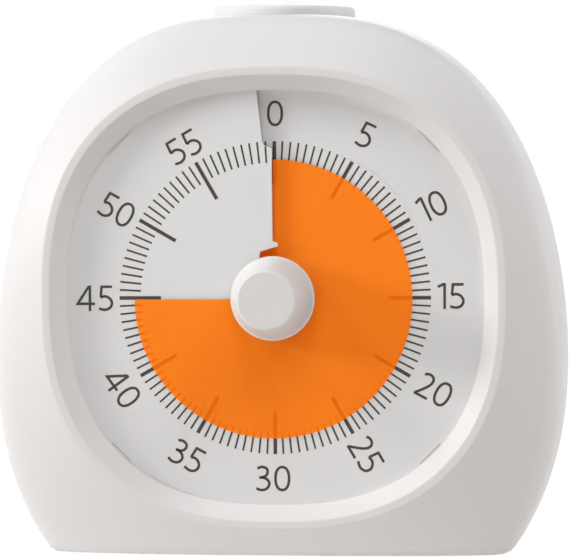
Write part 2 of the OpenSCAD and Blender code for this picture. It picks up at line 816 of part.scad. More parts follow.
module movement_cover() {
    back = movement_y + cover_wall;
    color("lightgray") difference() {
        union() {
            difference() {
                block(box_left - cover_wall, box_right + cover_wall, plate_back_y, back,
                    window_z + box_low - cover_wall, window_z + box_high + cover_wall);
                block(box_left, box_right, plate_back_y - 1, movement_y,
                    window_z + box_low, window_z + box_high);
            }
            box_post_places() rod(0, 0, box_boss_r, plate_back_y, movement_y);
            for (p = box_posts) translate([p[0], 0, window_z + p[1]])
                block(min(0, p[2] * box_boss_in), max(0, p[2] * box_boss_in), plate_back_y, movement_y,
                    min(0, p[3] * box_boss_in), max(0, p[3] * box_boss_in));
            rod(0, window_z, rear_journal_r + bearing_wall, main_back_y + wheel_gap, movement_y);
            rod(transfer_x, window_z, pin_r + bearing_wall, thin_back_y + wheel_gap, movement_y);
        }
        box_post_places() rod(0, 0, small_screw_r + 0.1, plate_back_y - 1, back);
        box_post_places() rod(0, 0, small_head_r + 0.1, back - small_head_h, back + 1);
        rod(0, window_z, rear_journal_r + run_fit, main_back_y, movement_y - bearing_floor);
        rod(transfer_x, window_z, pin_r, thin_back_y, movement_y - bearing_floor);
    }
}

module movement_screws() {
    seat = movement_y + cover_wall - small_head_h;
    color("silver") box_post_places()
        screw(0, 0, seat, small_screw_r, seat - plate_y, small_head_r, small_head_h);
}

module plate_screws() {
    color("silver") ear_places()
        screw(0, 0, plate_back_y, small_screw_r, plate_screw_l, small_head_r, small_head_h);
}

module case_screws() {
    color("silver") case_boss_places()
        screw(0, 0, part_y + seat_t, screw_r, case_screw_l + seat_t, screw_head_r, screw_head_h);
}

// ---- top button ----

module top_button() {
    rim = button_r - button_edge;
    crown = [for (i = [0:8]) let (r = rim * (1 - i / 8))
        [r, button_edge_z + button_crown * (1 - pow(r / rim, 2))]];
    color("white") translate([0, button_y, 0]) {
        rotate_extrude() polygon(concat([[0, button_ceiling_z], [button_r - button_wall, button_ceiling_z],
            [button_r - button_wall, collar_z - flange_t], [flange_r, collar_z - flange_t],
            [flange_r, collar_z], [button_r, collar_z], [button_r, button_edge_z - button_edge]], crown));
        translate([0, 0, stem_z]) cylinder(r = stem_r, h = button_ceiling_z - stem_z);
    }
}

module button_spring() {
    color("silver") translate([0, button_y, 0])
        coil(spring_r, spring_r, spring_wire, bracket_z, button_ceiling_z, spring_turns);
}

module button_bracket() {
    color("lightgray") difference() {
        block(-bracket_half_l, bracket_half_l, button_y - bracket_half_w, button_y + bracket_half_w,
            bracket_z - bracket_t, bracket_z);
        for (side = [-1, 1]) translate([side * bracket_boss_x, button_y, bracket_z - bracket_t - 1])
            cylinder(r = small_screw_r, h = bracket_t + 2);
    }
}

module bracket_screws() {
    color("silver") for (side = [-1, 1])
        translate([side * bracket_boss_x, button_y, bracket_z - bracket_t]) rotate([-90, 0, 0])
            screw(0, 0, 0, small_screw_r, bracket_t + bracket_bite, small_head_r, small_head_h);
}

module switch_board() {
    half = switch_w / 2 + switch_margin;
    color("seagreen") block(-half, half, button_y - half, button_y + half, bracket_z, bracket_z + board_t);
}

module tact_switch() {
    base = bracket_z + board_t;
    color("dimgray") {
        block(-switch_w / 2, switch_w / 2, button_y - switch_w / 2, button_y + switch_w / 2,
            base, base + switch_h);
        translate([0, button_y, base + switch_h]) cylinder(r = plunger_r, h = plunger_h);
    }
}

// ---- back ----

module circuit_board() {
    color("seagreen") difference() {
        block(board_at[0] - board_w / 2, board_at[0] + board_w / 2, board_back_y - board_t, board_back_y,
            board_at[1] - board_h / 2, board_at[1] + board_h / 2);
        for (p = board_posts) rod(p[0], p[1], small_screw_r, board_back_y - board_t - 1, board_back_y + 1);
    }
}

module board_screws() {
    color("silver") for (p = board_posts)
        translate([p[0], board_back_y - board_t, p[1]]) mirror([0, 1, 0])
            screw(0, 0, 0, small_screw_r, board_t + board_bite, small_head_r, small_head_h);
}

module timer_chip() {
    middle_z = board_at[1] - chip_drop;
    color("dimgray") block(board_at[0] - chip_w / 2, board_at[0] + chip_w / 2,
        board_back_y - board_t - chip_t, board_back_y - board_t,
        middle_z - chip_w / 2, middle_z + chip_w / 2);
}

module speaker() {
    color("dimgray") {
        front = inner_back_y - speaker_d;
        rod(speaker_at[0], speaker_at[1], speaker_r, front, inner_back_y);
        rod(speaker_at[0], speaker_at[1], speaker_r / 2, front - magnet_t, front);
    }
}

module volume_switch() {
    top = board_back_y + switch_body[1];
    color("silver") difference() {
        block(volume_at[0] - switch_body[0] / 2, volume_at[0] + switch_body[0] / 2, board_back_y, top,
            volume_at[1] - switch_body[2] / 2, volume_at[1] + switch_body[2] / 2);
        block(volume_at[0] - (lever_w + volume_travel) / 2 - loose_fit,
            volume_at[0] + (lever_w + volume_travel) / 2 + loose_fit, top - lever_slot_d, top + 1,
            volume_at[1] - lever_w / 2 - loose_fit, volume_at[1] + lever_w / 2 + loose_fit);
    }
}

module volume_slider() {
    face_y = back_y - slider_sink;
    color("gray") {
        block(volume_at[0] - volume_l / 2, volume_at[0] + volume_l / 2, face_y - volume_t, face_y,
            volume_at[1] - volume_w / 2, volume_at[1] + volume_w / 2);
        block(volume_at[0] - lever_w / 2, volume_at[0] + lever_w / 2,
            board_back_y + switch_body[1] - lever_bite, face_y - volume_t,
            volume_at[1] - lever_w / 2, volume_at[1] + lever_w / 2);
    }
}

// ---- battery ----

module battery() {
    color("gold") translate([-bay_half_l + contact_t, cell_y, cell_z]) rotate([0, 90, 0]) {
        cylinder(r = cap_r, h = cap_l);
        translate([0, 0, cap_l]) cylinder(r = cell_d / 2, h = cell_l - cap_l);
    }
}

module flat_contact() {
    color("silver") block(-bay_half_l, -bay_half_l + contact_t, cell_y - contact_half, cell_y + contact_half,
        cell_z - contact_half, cell_z + contact_half);
}

module spring_contact() {
    color("silver") {
        block(bay_half_l - contact_t, bay_half_l, cell_y - contact_half, cell_y + contact_half,
            cell_z - contact_half, cell_z + contact_half);
        translate([bay_half_l - contact_t, cell_y, cell_z]) rotate([0, -90, 0])
            coil(contact_wide_r, contact_narrow_r, contact_wire, -contact_t / 2, contact_l, contact_turns);
    }
}

module battery_door() {
    tab_back_y = inner_back_y - tab_gap;
    web_z = door_low_z + 0.1;
    groove_z = cell_z + door_half_h - groove_drop;
    color("white") difference() {
        union() {
            block(-door_half_l, door_half_l, door_in_y, back_y, door_low_z, cell_z + door_half_h);
            for (side = [-1, 1]) {
                block(side * tab_x - tab_l / 2, side * tab_x + tab_l / 2, tab_back_y - tab_t, door_in_y,
                    web_z, web_z + web_t);
                block(side * tab_x - tab_l / 2, side * tab_x + tab_l / 2, tab_back_y - tab_t, tab_back_y,
                    door_low_z - tab_reach, web_z + web_t);
            }
        }
        for (i = [-1:1]) block(-groove_half, groove_half, back_y - groove_d, back_y + 1,
            groove_z - groove_w / 2 + i * groove_pitch, groove_z + groove_w / 2 + i * groove_pitch);
    }
}

front_housing();
rear_cover();
dial_plate();
mounting_plate();
timer_disc();
knob();
spindle();
main_wheel();
transfer_gear();
transfer_pin();
motor_pinion();
motor_rotor();
motor_coil();
motor_can();
movement_cover();
movement_screws();
plate_screws();
case_screws();
top_button();
button_spring();
button_bracket();
bracket_screws();
switch_board();
tact_switch();
circuit_board();
board_screws();
timer_chip();
speaker();
volume_switch();
volume_slider();
battery();
flat_contact();
spring_contact();
battery_door();
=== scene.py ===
"""Desk countdown timer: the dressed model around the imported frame."""
import json
import math
from collections import namedtuple

import bmesh
import bpy
import numpy as np
from mathutils import Matrix, Vector


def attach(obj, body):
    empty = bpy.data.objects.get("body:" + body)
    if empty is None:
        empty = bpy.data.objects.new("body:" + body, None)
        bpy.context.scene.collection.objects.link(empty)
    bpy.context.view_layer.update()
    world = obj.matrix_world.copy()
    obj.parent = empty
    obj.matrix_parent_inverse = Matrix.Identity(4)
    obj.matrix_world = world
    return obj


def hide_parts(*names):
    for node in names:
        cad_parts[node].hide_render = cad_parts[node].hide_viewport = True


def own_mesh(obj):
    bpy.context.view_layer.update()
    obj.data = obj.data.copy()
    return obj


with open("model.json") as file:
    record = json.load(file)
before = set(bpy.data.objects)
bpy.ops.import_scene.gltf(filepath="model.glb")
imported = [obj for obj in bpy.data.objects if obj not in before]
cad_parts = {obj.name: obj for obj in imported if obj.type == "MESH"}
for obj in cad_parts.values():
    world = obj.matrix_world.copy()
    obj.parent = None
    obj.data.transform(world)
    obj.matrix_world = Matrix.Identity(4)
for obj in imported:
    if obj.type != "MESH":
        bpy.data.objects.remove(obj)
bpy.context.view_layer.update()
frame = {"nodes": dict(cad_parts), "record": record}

# ---- measures, in millimetres and degrees ----
MM = 0.001
# Body at its widest line: width, height of the line, height above and depth below it, exponents
BODY_W, WAIST_H, CROWN_H, BELLY_H = 95.0, 32.0, 57.5, 49.0
CROWN_SIDE, CROWN_TOP, BELLY_SQUARE = 2.9, 1.9, 2.3
# Curve from the widest line to the rim in front and to the flat back
FRONT_D, REAR_D, BEVEL_SLOPE, SHOULDER_K, BARREL = 17.0, 22.0, 2.0, 6.0, 0.05
WALL, BACK_R, BACK_Z, BASE_ROUND = 2.2, 38.0, 42.0, 0.6
WINDOW_Z, RIM_W, RIM_H, WINDOW_SQUARE = 42.4, 38.4, 38.0, 2.44
RIM_FLAT, DIAL_IN, TUBE_IN = 1.3, 3.7, 1.5
WAIST_Y, RIM_Y, BACK_Y, PART_Y = 1.5, -15.5, 23.5, 17.1
INNER_BACK_Y = BACK_Y - WALL
OUTSIDE_Y = BACK_Y + 1
TAPER_Y, PLATE_Y = -12.95, -9.65
# Dial: one turn of a ramp that rises by PITCH; DIAL_FIT sinks its edge into the window wall
DIAL_Y, PITCH, DIAL_T, DIAL_FIT = -12.0, 1.5, 0.8, -0.03
DIAL_HOLE_R, LANDING_R, LANDING_STEP, LANDING_TURN = 6.0, 24.9, 0.02, -6.0
TURN_RINGS = 541
DISC_PLAY = (-0.21, 0, -0.21)
DISC_R, DISC_T, DISC_GAP, HUB_R, HUB_LAP, MINUTES_SET = 23.05, 0.3, 0.2, 4.6, 0.5, 45
KNOB_BACK_Y = -13.55
BUTTON_R, BUTTON_Y, BUTTON_HOLE_R, COLLAR_R, COLLAR_Z = 11.9, 4.0, 12.05, 13.85, 84.6
BUTTON_EDGE_Z, BUTTON_CROWN, BUTTON_WALL, FLANGE_R = 90.75, 0.9, 1.6, 13.25
COLLAR_LIP, COLLAR_COVER, COLLAR_DROP, COLLAR_SIDES = 0.3, 1.1, 0.004, 256
CASE_SCREWS = [(side * x, z) for x, z in ((29.0, 73.4), (32.0, 11.0)) for side in (-1, 1)]
POST_R, POST_COVER = 3.0, 1.0
EARS = [(side * 39.7, WINDOW_Z + rise) for side in (-1, 1) for rise in (-9, 9)]
EAR_R = 2.5
SEAM = 0.3
CREASE, WELD = 32, 2e-7

# ---- shape tools ----


def loft(rings, loop=False, caps=True):
    """Skin over rings of equal length; loop joins the last ring to the first."""
    count, total = len(rings[0]), len(rings)
    points = np.concatenate([np.asarray(r, float) for r in rings])
    faces = []
    for j in range(total if loop else total - 1):
        low, high = j * count, (j + 1) % total * count
        faces += [(low + i, low + (i + 1) % count, high + (i + 1) % count, high + i)
                  for i in range(count)]
    if caps and not loop:
        faces += [tuple(range(count))[::-1], tuple(range((total - 1) * count, total * count))]
    return points, faces


def merge(*parts):
    """One shape out of several, each a pair of points and faces."""
    points, faces, start = [], [], 0
    for p, f in parts:
        points.append(np.asarray(p, float))
        faces += [tuple(i + start for i in face) for face in f]
        start += len(p)
    return np.concatenate(points), faces


def block(x0, x1, y0, y1, z0, z1):
    """Box between the given sides."""
    ring = np.array([(x0, z0), (x1, z0), (x1, z1), (x0, z1)])
    return loft([np.insert(ring, 1, y, axis=1) for y in (y0, y1)])


def rod(x, z, r, y0, y1, sides=64):
    """Cylinder along the depth."""
    a = np.arange(sides) * 2 * math.pi / sides
    return loft([np.stack([x + r * np.cos(a), np.full(sides, y), z + r * np.sin(a)], 1)
                 for y in (y0, y1)])


def turned(profile, place, sides=192):
    """Profile of (radius, height) turned about an axis that place puts into the frame."""
    a = np.arange(sides) * 2 * math.pi / sides
    rings = []
    for r, h in profile:
        rings.append(place(r * np.cos(a), r * np.sin(a), np.full(sides, float(h))))
    return loft(rings)


def rounded(corners, radii, steps=6):
    """Polyline through corners, with each corner rounded to its own radius."""
    out = []
    for i, (p, r) in enumerate(zip(corners, radii)):
        p = np.array(p, float)
        if not r or i in (0, len(corners) - 1):
            out.append(tuple(p))
            continue
        u, v = np.array(corners[i - 1], float) - p, np.array(corners[i + 1], float) - p
        lu, lv = np.linalg.norm(u), np.linalg.norm(v)
        half = math.acos(np.clip(u @ v / lu / lv, -1, 1)) / 2
        cut = min(r / math.tan(half), lu * 0.49, lv * 0.49)
        a, b = p + u / lu * cut, p + v / lv * cut
        for k in range(steps + 1):
            t = k / steps
            out.append(tuple((1 - t) ** 2 * a + 2 * t * (1 - t) * p + t * t * b))
    return out


def make(name, shape, finish, crease=CREASE):
    """Mesh object in the scene from points and faces in millimetres."""
    points, faces = shape
    mesh = bpy.data.meshes.new(name)
    mesh.from_pydata((np.asarray(points) * MM).tolist(), [], faces)
    tidy(mesh, crease)
    piece = bpy.data.objects.new(name, mesh)
    bpy.context.scene.collection.objects.link(piece)
    mesh.materials.append(finish)
    return piece


def tidy(mesh, crease):
    """Clean seams, outward faces, smooth shading with creases kept."""
    work = bmesh.new()
    work.from_mesh(mesh)
    bmesh.ops.remove_doubles(work, verts=work.verts, dist=WELD)
    bmesh.ops.recalc_face_normals(work, faces=work.faces)
    work.to_mesh(mesh)
    work.free()
    mesh.shade_smooth()
    mesh.set_sharp_from_angle(angle=math.radians(crease))


def carve(piece, shape, operation="DIFFERENCE"):
    """Cuts the shape out of the piece, or adds it."""
    tool = make("tool", shape, piece.data.materials[0])
    change = piece.modifiers.new("carve", "BOOLEAN")
    change.operation, change.solver, change.object = operation, "EXACT", tool
    bake(piece)
    tidy(piece.data, CREASE)
    bpy.data.objects.remove(tool)


def bake(piece):
    """Replaces the piece's mesh by the result of its modifiers."""
    graph = bpy.context.evaluated_depsgraph_get()
    done = bpy.data.meshes.new_from_object(piece.evaluated_get(graph))
    piece.modifiers.clear()
    piece.data = done


def bend(c, n):
    """Cosine or sine of a circle, bent to those of a superellipse of exponent n."""
    return np.sign(c) * np.abs(c) ** (2 / n)


def spread(v, depth, run):
    """How far the body has widened at v behind the edge: a slope that turns into a barrel."""
    if v <= 0:
        return 0.0
    line, side = BEVEL_SLOPE * v / run, 1 - BARREL * (1 - v / depth) ** 2
    return (line ** -SHOULDER_K + side ** -SHOULDER_K) ** (-1 / SHOULDER_K)


# Half width, middle, height above, depth below, then the exponents beside, above and below
Outline = namedtuple("Outline", "half_w middle high low side top belly")


def outline(y):
    """Outline of the body at depth y."""
    front = y < WAIST_Y
    depth, v = (FRONT_D, y - RIM_Y) if front else (REAR_D, BACK_Y - y)
    end = [RIM_W, WINDOW_Z, RIM_H, RIM_H] if front else [BACK_R, BACK_Z, BACK_R, BACK_R]
    run = BODY_W / 2 - (RIM_W if front else BACK_R)
    f = spread(v, depth, run) / spread(depth, depth, run)
    wide = [BODY_W / 2, WAIST_H, CROWN_H, BELLY_H, CROWN_SIDE, CROWN_TOP, BELLY_SQUARE]
    return Outline(*[a + (b - a) * f for a, b in zip(end + [WINDOW_SQUARE] * 3, wide)])


def ring_shape(t, o, inset, y):
    """Points of outline o at the angles t, set in all round, at depth y."""
    c, s = np.cos(t), np.sin(t)
    up = s > 0
    x = (o.half_w - inset) * np.where(up, bend(c, o.side), bend(c, o.belly))
    z = o.middle + np.where(up, (o.high - inset) * bend(s, o.top), (o.low - inset) * bend(s, o.belly))
    return np.stack([x, np.full_like(x, y), z], 1)


RING_POINTS, RING_SAMPLES = 384, 14401


def ring_steps(count):
    """Angles at which the widest outline is divided evenly, from the top round."""
    t = np.linspace(math.pi / 2, 2.5 * math.pi, RING_SAMPLES)
    p = ring_shape(t, outline(WAIST_Y), 0, 0)
    p[:, 2] = np.maximum(p[:, 2], 0)
    run = np.concatenate([[0], np.cumsum(np.linalg.norm(np.diff(p, axis=0), axis=1))])
    return np.interp(np.arange(count) * run[-1] / count, run, t)


RING = ring_steps(RING_POINTS)


def seat(z, base):
    """Height with the flat base cut at base, rounded a little at its edge."""
    h, r = z - base, BASE_ROUND
    return base + np.where(h < -r, 0, np.where(h > r, h, (h + r) ** 2 / (4 * r)))


def body_ring(y, inset=0.0, base=0.0, grow=0.0):
    """One ring of the case: inset is taken off all round and sets the bevels back, grow is added."""
    lag = inset / 2
    if y < WAIST_Y:
        at = min(WAIST_Y, max(RIM_Y, y - lag))
    else:
        at = max(WAIST_Y, min(BACK_Y, y + lag))
    ring = ring_shape(RING, outline(at), inset - grow, y)
    ring[:, 2] = seat(ring[:, 2], base)
    return ring


def edge_ring(y, half_w, middle, half_h, inset):
    """Ring with the window's roundness."""
    return ring_shape(RING, Outline(half_w, middle, half_h, half_h, *[WINDOW_SQUARE] * 3), inset, y)


def window(y, inset):
    return edge_ring(y, RIM_W, WINDOW_Z, RIM_H, inset)


def crest_z(x, y, inset=0.0):
    """Height of the case's top above the point x, y."""
    z = np.empty(len(x))
    for i, (a, b) in enumerate(zip(x, y)):
        o = outline(b)
        rise = (1 - (abs(a) / (o.half_w - inset)) ** o.side) ** (1 / o.top)
        z[i] = o.middle + (o.high - inset) * rise
    return z


def corner(steps, a, p, b):
    """Points of a rounded corner p, from a to b."""
    t = np.linspace(0, 1, steps)[:, None]
    return (1 - t) ** 2 * np.array(a) + 2 * t * (1 - t) * np.array(p) + t * t * np.array(b)


def on_button(a, b, h):
    """Places a turned shape on the button's upright axis."""
    return np.stack([a, BUTTON_Y + b, h], 1)


def on_spindle(a, b, h):
    """Places a turned shape on the knob's axis, its foot to the back."""
    return np.stack([a, KNOB_BACK_Y - h, WINDOW_Z + b], 1)


# ---- finishes ----


def socket_group(name, inputs, outputs):
    """Empty node group with its sockets: (label, kind, value) in, (label, kind) out."""
    group = bpy.data.node_groups.new(name, "ShaderNodeTree")
    for label, kind, value in inputs:
        s = group.interface.new_socket(name=label, in_out="INPUT", socket_type=kind)
        s.default_value = value
    for label, kind in outputs:
        group.interface.new_socket(name=label, in_out="OUTPUT", socket_type=kind)
    return group, group.nodes.new("NodeGroupInput"), group.nodes.new("NodeGroupOutput")


def node(tree, kind, inputs=None, **settings):
    """New node; inputs that are sockets are linked, others are set."""
    n = tree.nodes.new(kind)
    for key, value in settings.items():
        setattr(n, key, value)
    for key, value in (inputs or {}).items():
        if isinstance(value, bpy.types.NodeSocket):
            tree.links.new(value, n.inputs[key])
        else:
            n.inputs[key].default_value = value
    return n


def mix(tree, a, b, factor, blend="MIX"):
    """Mixed colour of a and b; sockets 6, 7 and 2 are those of the node's colour mode."""
    inputs = {0: factor, 6: a, 7: b}
    return node(tree, "ShaderNodeMix", inputs, data_type="RGBA", blend_type=blend).outputs[2]


def chain(tree, out, *steps):
    """Value out taken through a row of (operation, value) steps."""
    for operation, value in steps:
        m = node(tree, "ShaderNodeMath", {0: out, 1: value}, operation=operation)
        out = m.outputs[0]
    return out


# Paler colour of sharp edges, partly wear and partly a painted highlight; brown of dulled patches on metal
WEAR_AND_HIGHLIGHT_WHITE, TARNISH_BROWN = (0.93, 0.92, 0.9, 1), (0.23, 0.2, 0.17, 1)


def moulded_group():
    """Spark-eroded mould texture: fine grain, soft mottling, handling marks, and paler sharp edges that
    are partly wear and partly a painted highlight.
    """
    value, colour = "NodeSocketFloat", "NodeSocketColor"
    group, given, result = socket_group(
        "Moulded skin",
        [("Color", colour, (0.8, 0.8, 0.8, 1)), ("Mottle", value, 0.03), ("Roughness", value, 0.45),
         ("Polish", value, 0.08), ("Grain size", value, 4000.0), ("Grain depth", value, 0.1),
         ("Edge wear", value, 0.1)],
        [("Color", colour), ("Roughness", value), ("Normal", "NodeSocketVector")])
    g = given.outputs
    where = node(group, "ShaderNodeTexCoord").outputs["Object"]
    cloud = node(group, "ShaderNodeTexNoise",
                 {"Vector": where, "Scale": 45.0, "Detail": 4.0, "Roughness": 0.6})
    smear = node(group, "ShaderNodeTexNoise",
                 {"Vector": where, "Scale": 160.0, "Detail": 5.0, "Distortion": 1.2})
    fine = node(group, "ShaderNodeTexNoise", {"Vector": where, "Scale": g["Grain size"], "Detail": 2.0})
    shade = chain(group, cloud.outputs["Fac"], ("SUBTRACT", 0.5), ("MULTIPLY", g["Mottle"]),
                  ("ADD", 1.0))
    tone = node(group, "ShaderNodeCombineColor", {0: shade, 1: shade, 2: shade})
    tinted = mix(group, g["Color"], tone.outputs[0], 1.0, "MULTIPLY")
    # Paler where the surface is sharpest: partly wear, partly a painted highlight along the edges
    edge = node(group, "ShaderNodeNewGeometry").outputs["Pointiness"]
    sharp = node(group, "ShaderNodeMapRange", {"Value": edge, "From Min": 0.53, "From Max": 0.62})
    wear_and_highlight = chain(group, sharp.outputs[0], ("MULTIPLY", smear.outputs["Fac"]),
                 ("MULTIPLY", g["Edge wear"]))
    group.links.new(mix(group, tinted, WEAR_AND_HIGHLIGHT_WHITE, wear_and_highlight), result.inputs["Color"])
    gloss = chain(group, smear.outputs["Fac"], ("SUBTRACT", 0.5), ("MULTIPLY", g["Polish"]),
                  ("ADD", g["Roughness"]))
    group.links.new(gloss, result.inputs["Roughness"])
    bump = node(group, "ShaderNodeBump", {"Strength": g["Grain depth"], "Distance": 0.00003,
                                          "Height": fine.outputs["Fac"]})
    group.links.new(bump.outputs[0], result.inputs["Normal"])
    return group


def brushed_group():
    """Drawn or turned metal: fine lines along one axis and dulled patches."""
    value, colour = "NodeSocketFloat", "NodeSocketColor"
    group, given, result = socket_group(
        "Drawn metal",
        [("Color", colour, (0.6, 0.6, 0.6, 1)), ("Roughness", value, 0.3), ("Lines", value, 0.2),
         ("Tarnish", value, 0.2)],
        [("Color", colour), ("Roughness", value), ("Normal", "NodeSocketVector")])
    g = given.outputs
    where = node(group, "ShaderNodeTexCoord").outputs["Object"]
    pulled = node(group, "ShaderNodeMapping", {"Vector": where, "Scale": (6000.0, 300.0, 6000.0)})
    lines = node(group, "ShaderNodeTexNoise", {"Vector": pulled.outputs[0], "Scale": 1.0, "Detail": 3.0})
    patch = node(group, "ShaderNodeTexNoise", {"Vector": where, "Scale": 350.0, "Detail": 4.0})
    dull = chain(group, patch.outputs["Fac"], ("MULTIPLY", g["Tarnish"]))
    group.links.new(mix(group, g["Color"], TARNISH_BROWN, dull), result.inputs["Color"])
    gloss = chain(group, lines.outputs["Fac"], ("SUBTRACT", 0.5), ("MULTIPLY", 0.2),
                  ("ADD", g["Roughness"]), ("ADD", dull))
    group.links.new(gloss, result.inputs["Roughness"])
    bump = node(group, "ShaderNodeBump", {"Strength": g["Lines"], "Distance": 0.00002,
                                          "Height": lines.outputs["Fac"]})
    group.links.new(bump.outputs[0], result.inputs["Normal"])
    return group


MOULDED, DRAWN = moulded_group(), brushed_group()


def finish(name, group, values, shader):
    """Material whose skin comes from a group; shader holds what is uniform."""
    material = bpy.data.materials.new(name)
    material.use_nodes = True
    tree = material.node_tree
    main = tree.nodes["Principled BSDF"]
    skin = tree.nodes.new("ShaderNodeGroup")
    skin.node_tree = group
    for key, value in values.items():
        skin.inputs[key].default_value = value
    for given, taken in (("Color", "Base Color"), ("Roughness", "Roughness"), ("Normal", "Normal")):
        tree.links.new(skin.outputs[given], main.inputs[taken])
    for key, value in shader.items():
        main.inputs[key].default_value = value
    return material


def plastic(name, colour, roughness, **more):
    values = {"Color": (*colour, 1), "Roughness": roughness}
    shader = {}
    for key, value in more.items():
        target = shader if key == "Specular_IOR_Level" else values
        target[key.replace("_", " ")] = value
    return finish(name, MOULDED, values, shader)


# What the film lets through for lamps and for scattered light, and the colour of its painted glow
LAMP_TINT, SCATTERED = (0.93, 0.88, 0.83), (0.55, 0.53, 0.52)
PAINTED_GLOW_COLOUR = (1, 0.1, 0, 1)


def film(name, colour, tint, clear, glow):
    """Dyed film with a painted glow that brightens its orange: the share clear passes through tinted for
    the eye.
    """
    material = plastic(name, colour, 0.5, Mottle=0.03, Grain_depth=0.0, Edge_wear=0.0,
                       Specular_IOR_Level=0.15)
    tree = material.node_tree
    main = tree.nodes["Principled BSDF"]
    # Painted glow: the film gives off light of its own to brighten its orange, though it is no lamp
    main.inputs["Emission Color"].default_value = PAINTED_GLOW_COLOUR
    main.inputs["Emission Strength"].default_value = glow
    material.cycles.emission_sampling = "NONE"
    ray = node(tree, "ShaderNodeLightPath").outputs
    shares = ((clear, tint), (ray["Is Shadow Ray"], LAMP_TINT), (ray["Is Diffuse Ray"], SCATTERED))
    out = main.outputs[0]
    for share, shade in shares:
        through = node(tree, "ShaderNodeBsdfTransparent", {"Color": (*shade, 1)})
        out = node(tree, "ShaderNodeMixShader", {0: share, 1: out, 2: through.outputs[0]}).outputs[0]
    tree.links.new(out, tree.nodes["Material Output"].inputs["Surface"])
    return material


def metal(name, colour, roughness, **more):
    values = {"Color": (*colour, 1), "Roughness": roughness}
    values.update({key.replace("_", " "): value for key, value in more.items()})
    return finish(name, DRAWN, values, {"Metallic": 1.0})


CASE_WHITE = plastic("case_white", (0.795, 0.782, 0.775), 0.45, Mottle=0.02, Grain_depth=0.12,
                     Edge_wear=0.12, Specular_IOR_Level=0.25)
BUTTON_WHITE = plastic("button_white", (0.825, 0.815, 0.81), 0.45, Mottle=0.02, Grain_depth=0.1,
                       Edge_wear=0.15, Specular_IOR_Level=0.12)
# The knob's paler edges are partly a painted highlight on its rims
KNOB_WHITE = plastic("knob_white", (0.79, 0.78, 0.77), 0.36, Mottle=0.02, Grain_depth=0.06,
                     Edge_wear=0.2, Specular_IOR_Level=0.12)
DIAL_WHITE = plastic("dial_white", (0.80, 0.795, 0.79), 0.55, Mottle=0.015, Grain_depth=0.05,
                     Edge_wear=0.05)
# The last value is the strength of the film's painted glow
DISC_ORANGE = film("disc_orange", (1.0, 0.25, 0.004), (1.0, 0.78, 0.32), 0.62, 0.52)
PRINT_INK = plastic("print_ink", (0.045, 0.038, 0.034), 0.6, Mottle=0.3, Grain_depth=0.2,
                    Edge_wear=0.0)
FRAME_GREY = plastic("frame_grey", (0.33, 0.34, 0.35), 0.5, Mottle=0.05, Grain_depth=0.2)
GEAR_IVORY = plastic("gear_ivory", (0.78, 0.72, 0.58), 0.38, Mottle=0.05, Grain_depth=0.08)
PART_BLACK = plastic("part_black", (0.022, 0.022, 0.024), 0.42, Mottle=0.2, Grain_depth=0.25,
                     Edge_wear=0.05)
SPEAKER_BLACK = plastic("speaker_black", (0.03, 0.03, 0.032), 0.6, Mottle=0.3, Grain_depth=0.4,
                        Edge_wear=0.05)
SLIDER_GREY = plastic("slider_grey", (0.24, 0.245, 0.25), 0.48, Mottle=0.05, Grain_depth=0.2,
                      Edge_wear=0.2)
BOARD_GREEN = plastic("board_green", (0.03, 0.16, 0.07), 0.35, Mottle=0.35, Grain_depth=0.3,
                      Edge_wear=0.3)
CELL_WRAP = plastic("cell_wrap", (0.09, 0.24, 0.30), 0.22, Mottle=0.1, Grain_depth=0.05,
                    Edge_wear=0.4)
STEEL = metal("steel", (0.62, 0.61, 0.6), 0.28, Lines=0.25, Tarnish=0.15)
SPRING_STEEL = metal("spring_steel", (0.5, 0.5, 0.5), 0.22, Lines=0.1, Tarnish=0.2)
COPPER_WIRE = metal("copper_wire", (0.78, 0.32, 0.14), 0.3, Lines=0.5, Tarnish=0.2)
MAGNET_GREY = metal("magnet_grey", (0.12, 0.12, 0.125), 0.5, Lines=0.3, Tarnish=0.4)

# ---- case ----


# Where the rim's edges are rounded, and where the skin behind it begins
RIM_LIP, SKIN_START = 0.15, 0.08
SEAM_CORNER = corner(4, (0, 0), (0, SEAM), (SEAM, SEAM))


def front_housing():
    """Front moulding: rim, skin, inside, window wall and tube in one closed loop of rings."""
    inner = corner(6, (-RIM_LIP, 0), (0, 0), (RIM_LIP, RIM_LIP * 1.06))[::-1]
    outer = corner(6, (-RIM_LIP, 0), (0, 0), (2 * SKIN_START, SKIN_START))[:-1]
    depths = SKIN_START + (FRONT_D - SKIN_START) * np.linspace(0, 1, 56) ** 1.6
    rings = [window(RIM_Y + d, RIM_FLAT + w) for w, d in inner]
    rings += [window(RIM_Y + d, -w) for w, d in outer]
    rings += [body_ring(RIM_Y + d) for d in depths]
    rings += [body_ring(y) for y in np.linspace(WAIST_Y, PART_Y - SEAM, 16)[1:]]
    rings += [body_ring(PART_Y - SEAM + d, grow=-w) for w, d in SEAM_CORNER[1:]]
    rings += [body_ring(y, WALL, WALL) for y in np.linspace(PART_Y, RIM_Y + WALL, 24)]
    rings += [window(RIM_Y + WALL, TUBE_IN), window(PLATE_Y, TUBE_IN), window(PLATE_Y, DIAL_IN),
              window(TAPER_Y + 0.25, DIAL_IN), window(TAPER_Y, DIAL_IN)]
    shell = make("case_front", loft(rings, loop=True), CASE_WHITE)
    lip_r = BUTTON_HOLE_R + COLLAR_LIP
    carve(shell, turned([(0, 78), (lip_r, 78), (lip_r, 96), (0, 96)], on_button, COLLAR_SIDES))
    posts = [rod(x, z, POST_R, post_start(x, z, POST_R), PART_Y) for x, z in CASE_SCREWS]
    posts += [rod(x, z, EAR_R, post_start(x, z, EAR_R), PLATE_Y) for x, z in EARS]
    join(shell, make("collar", merge(loft(collar(lip_r), loop=True), *posts), CASE_WHITE))
    return shell


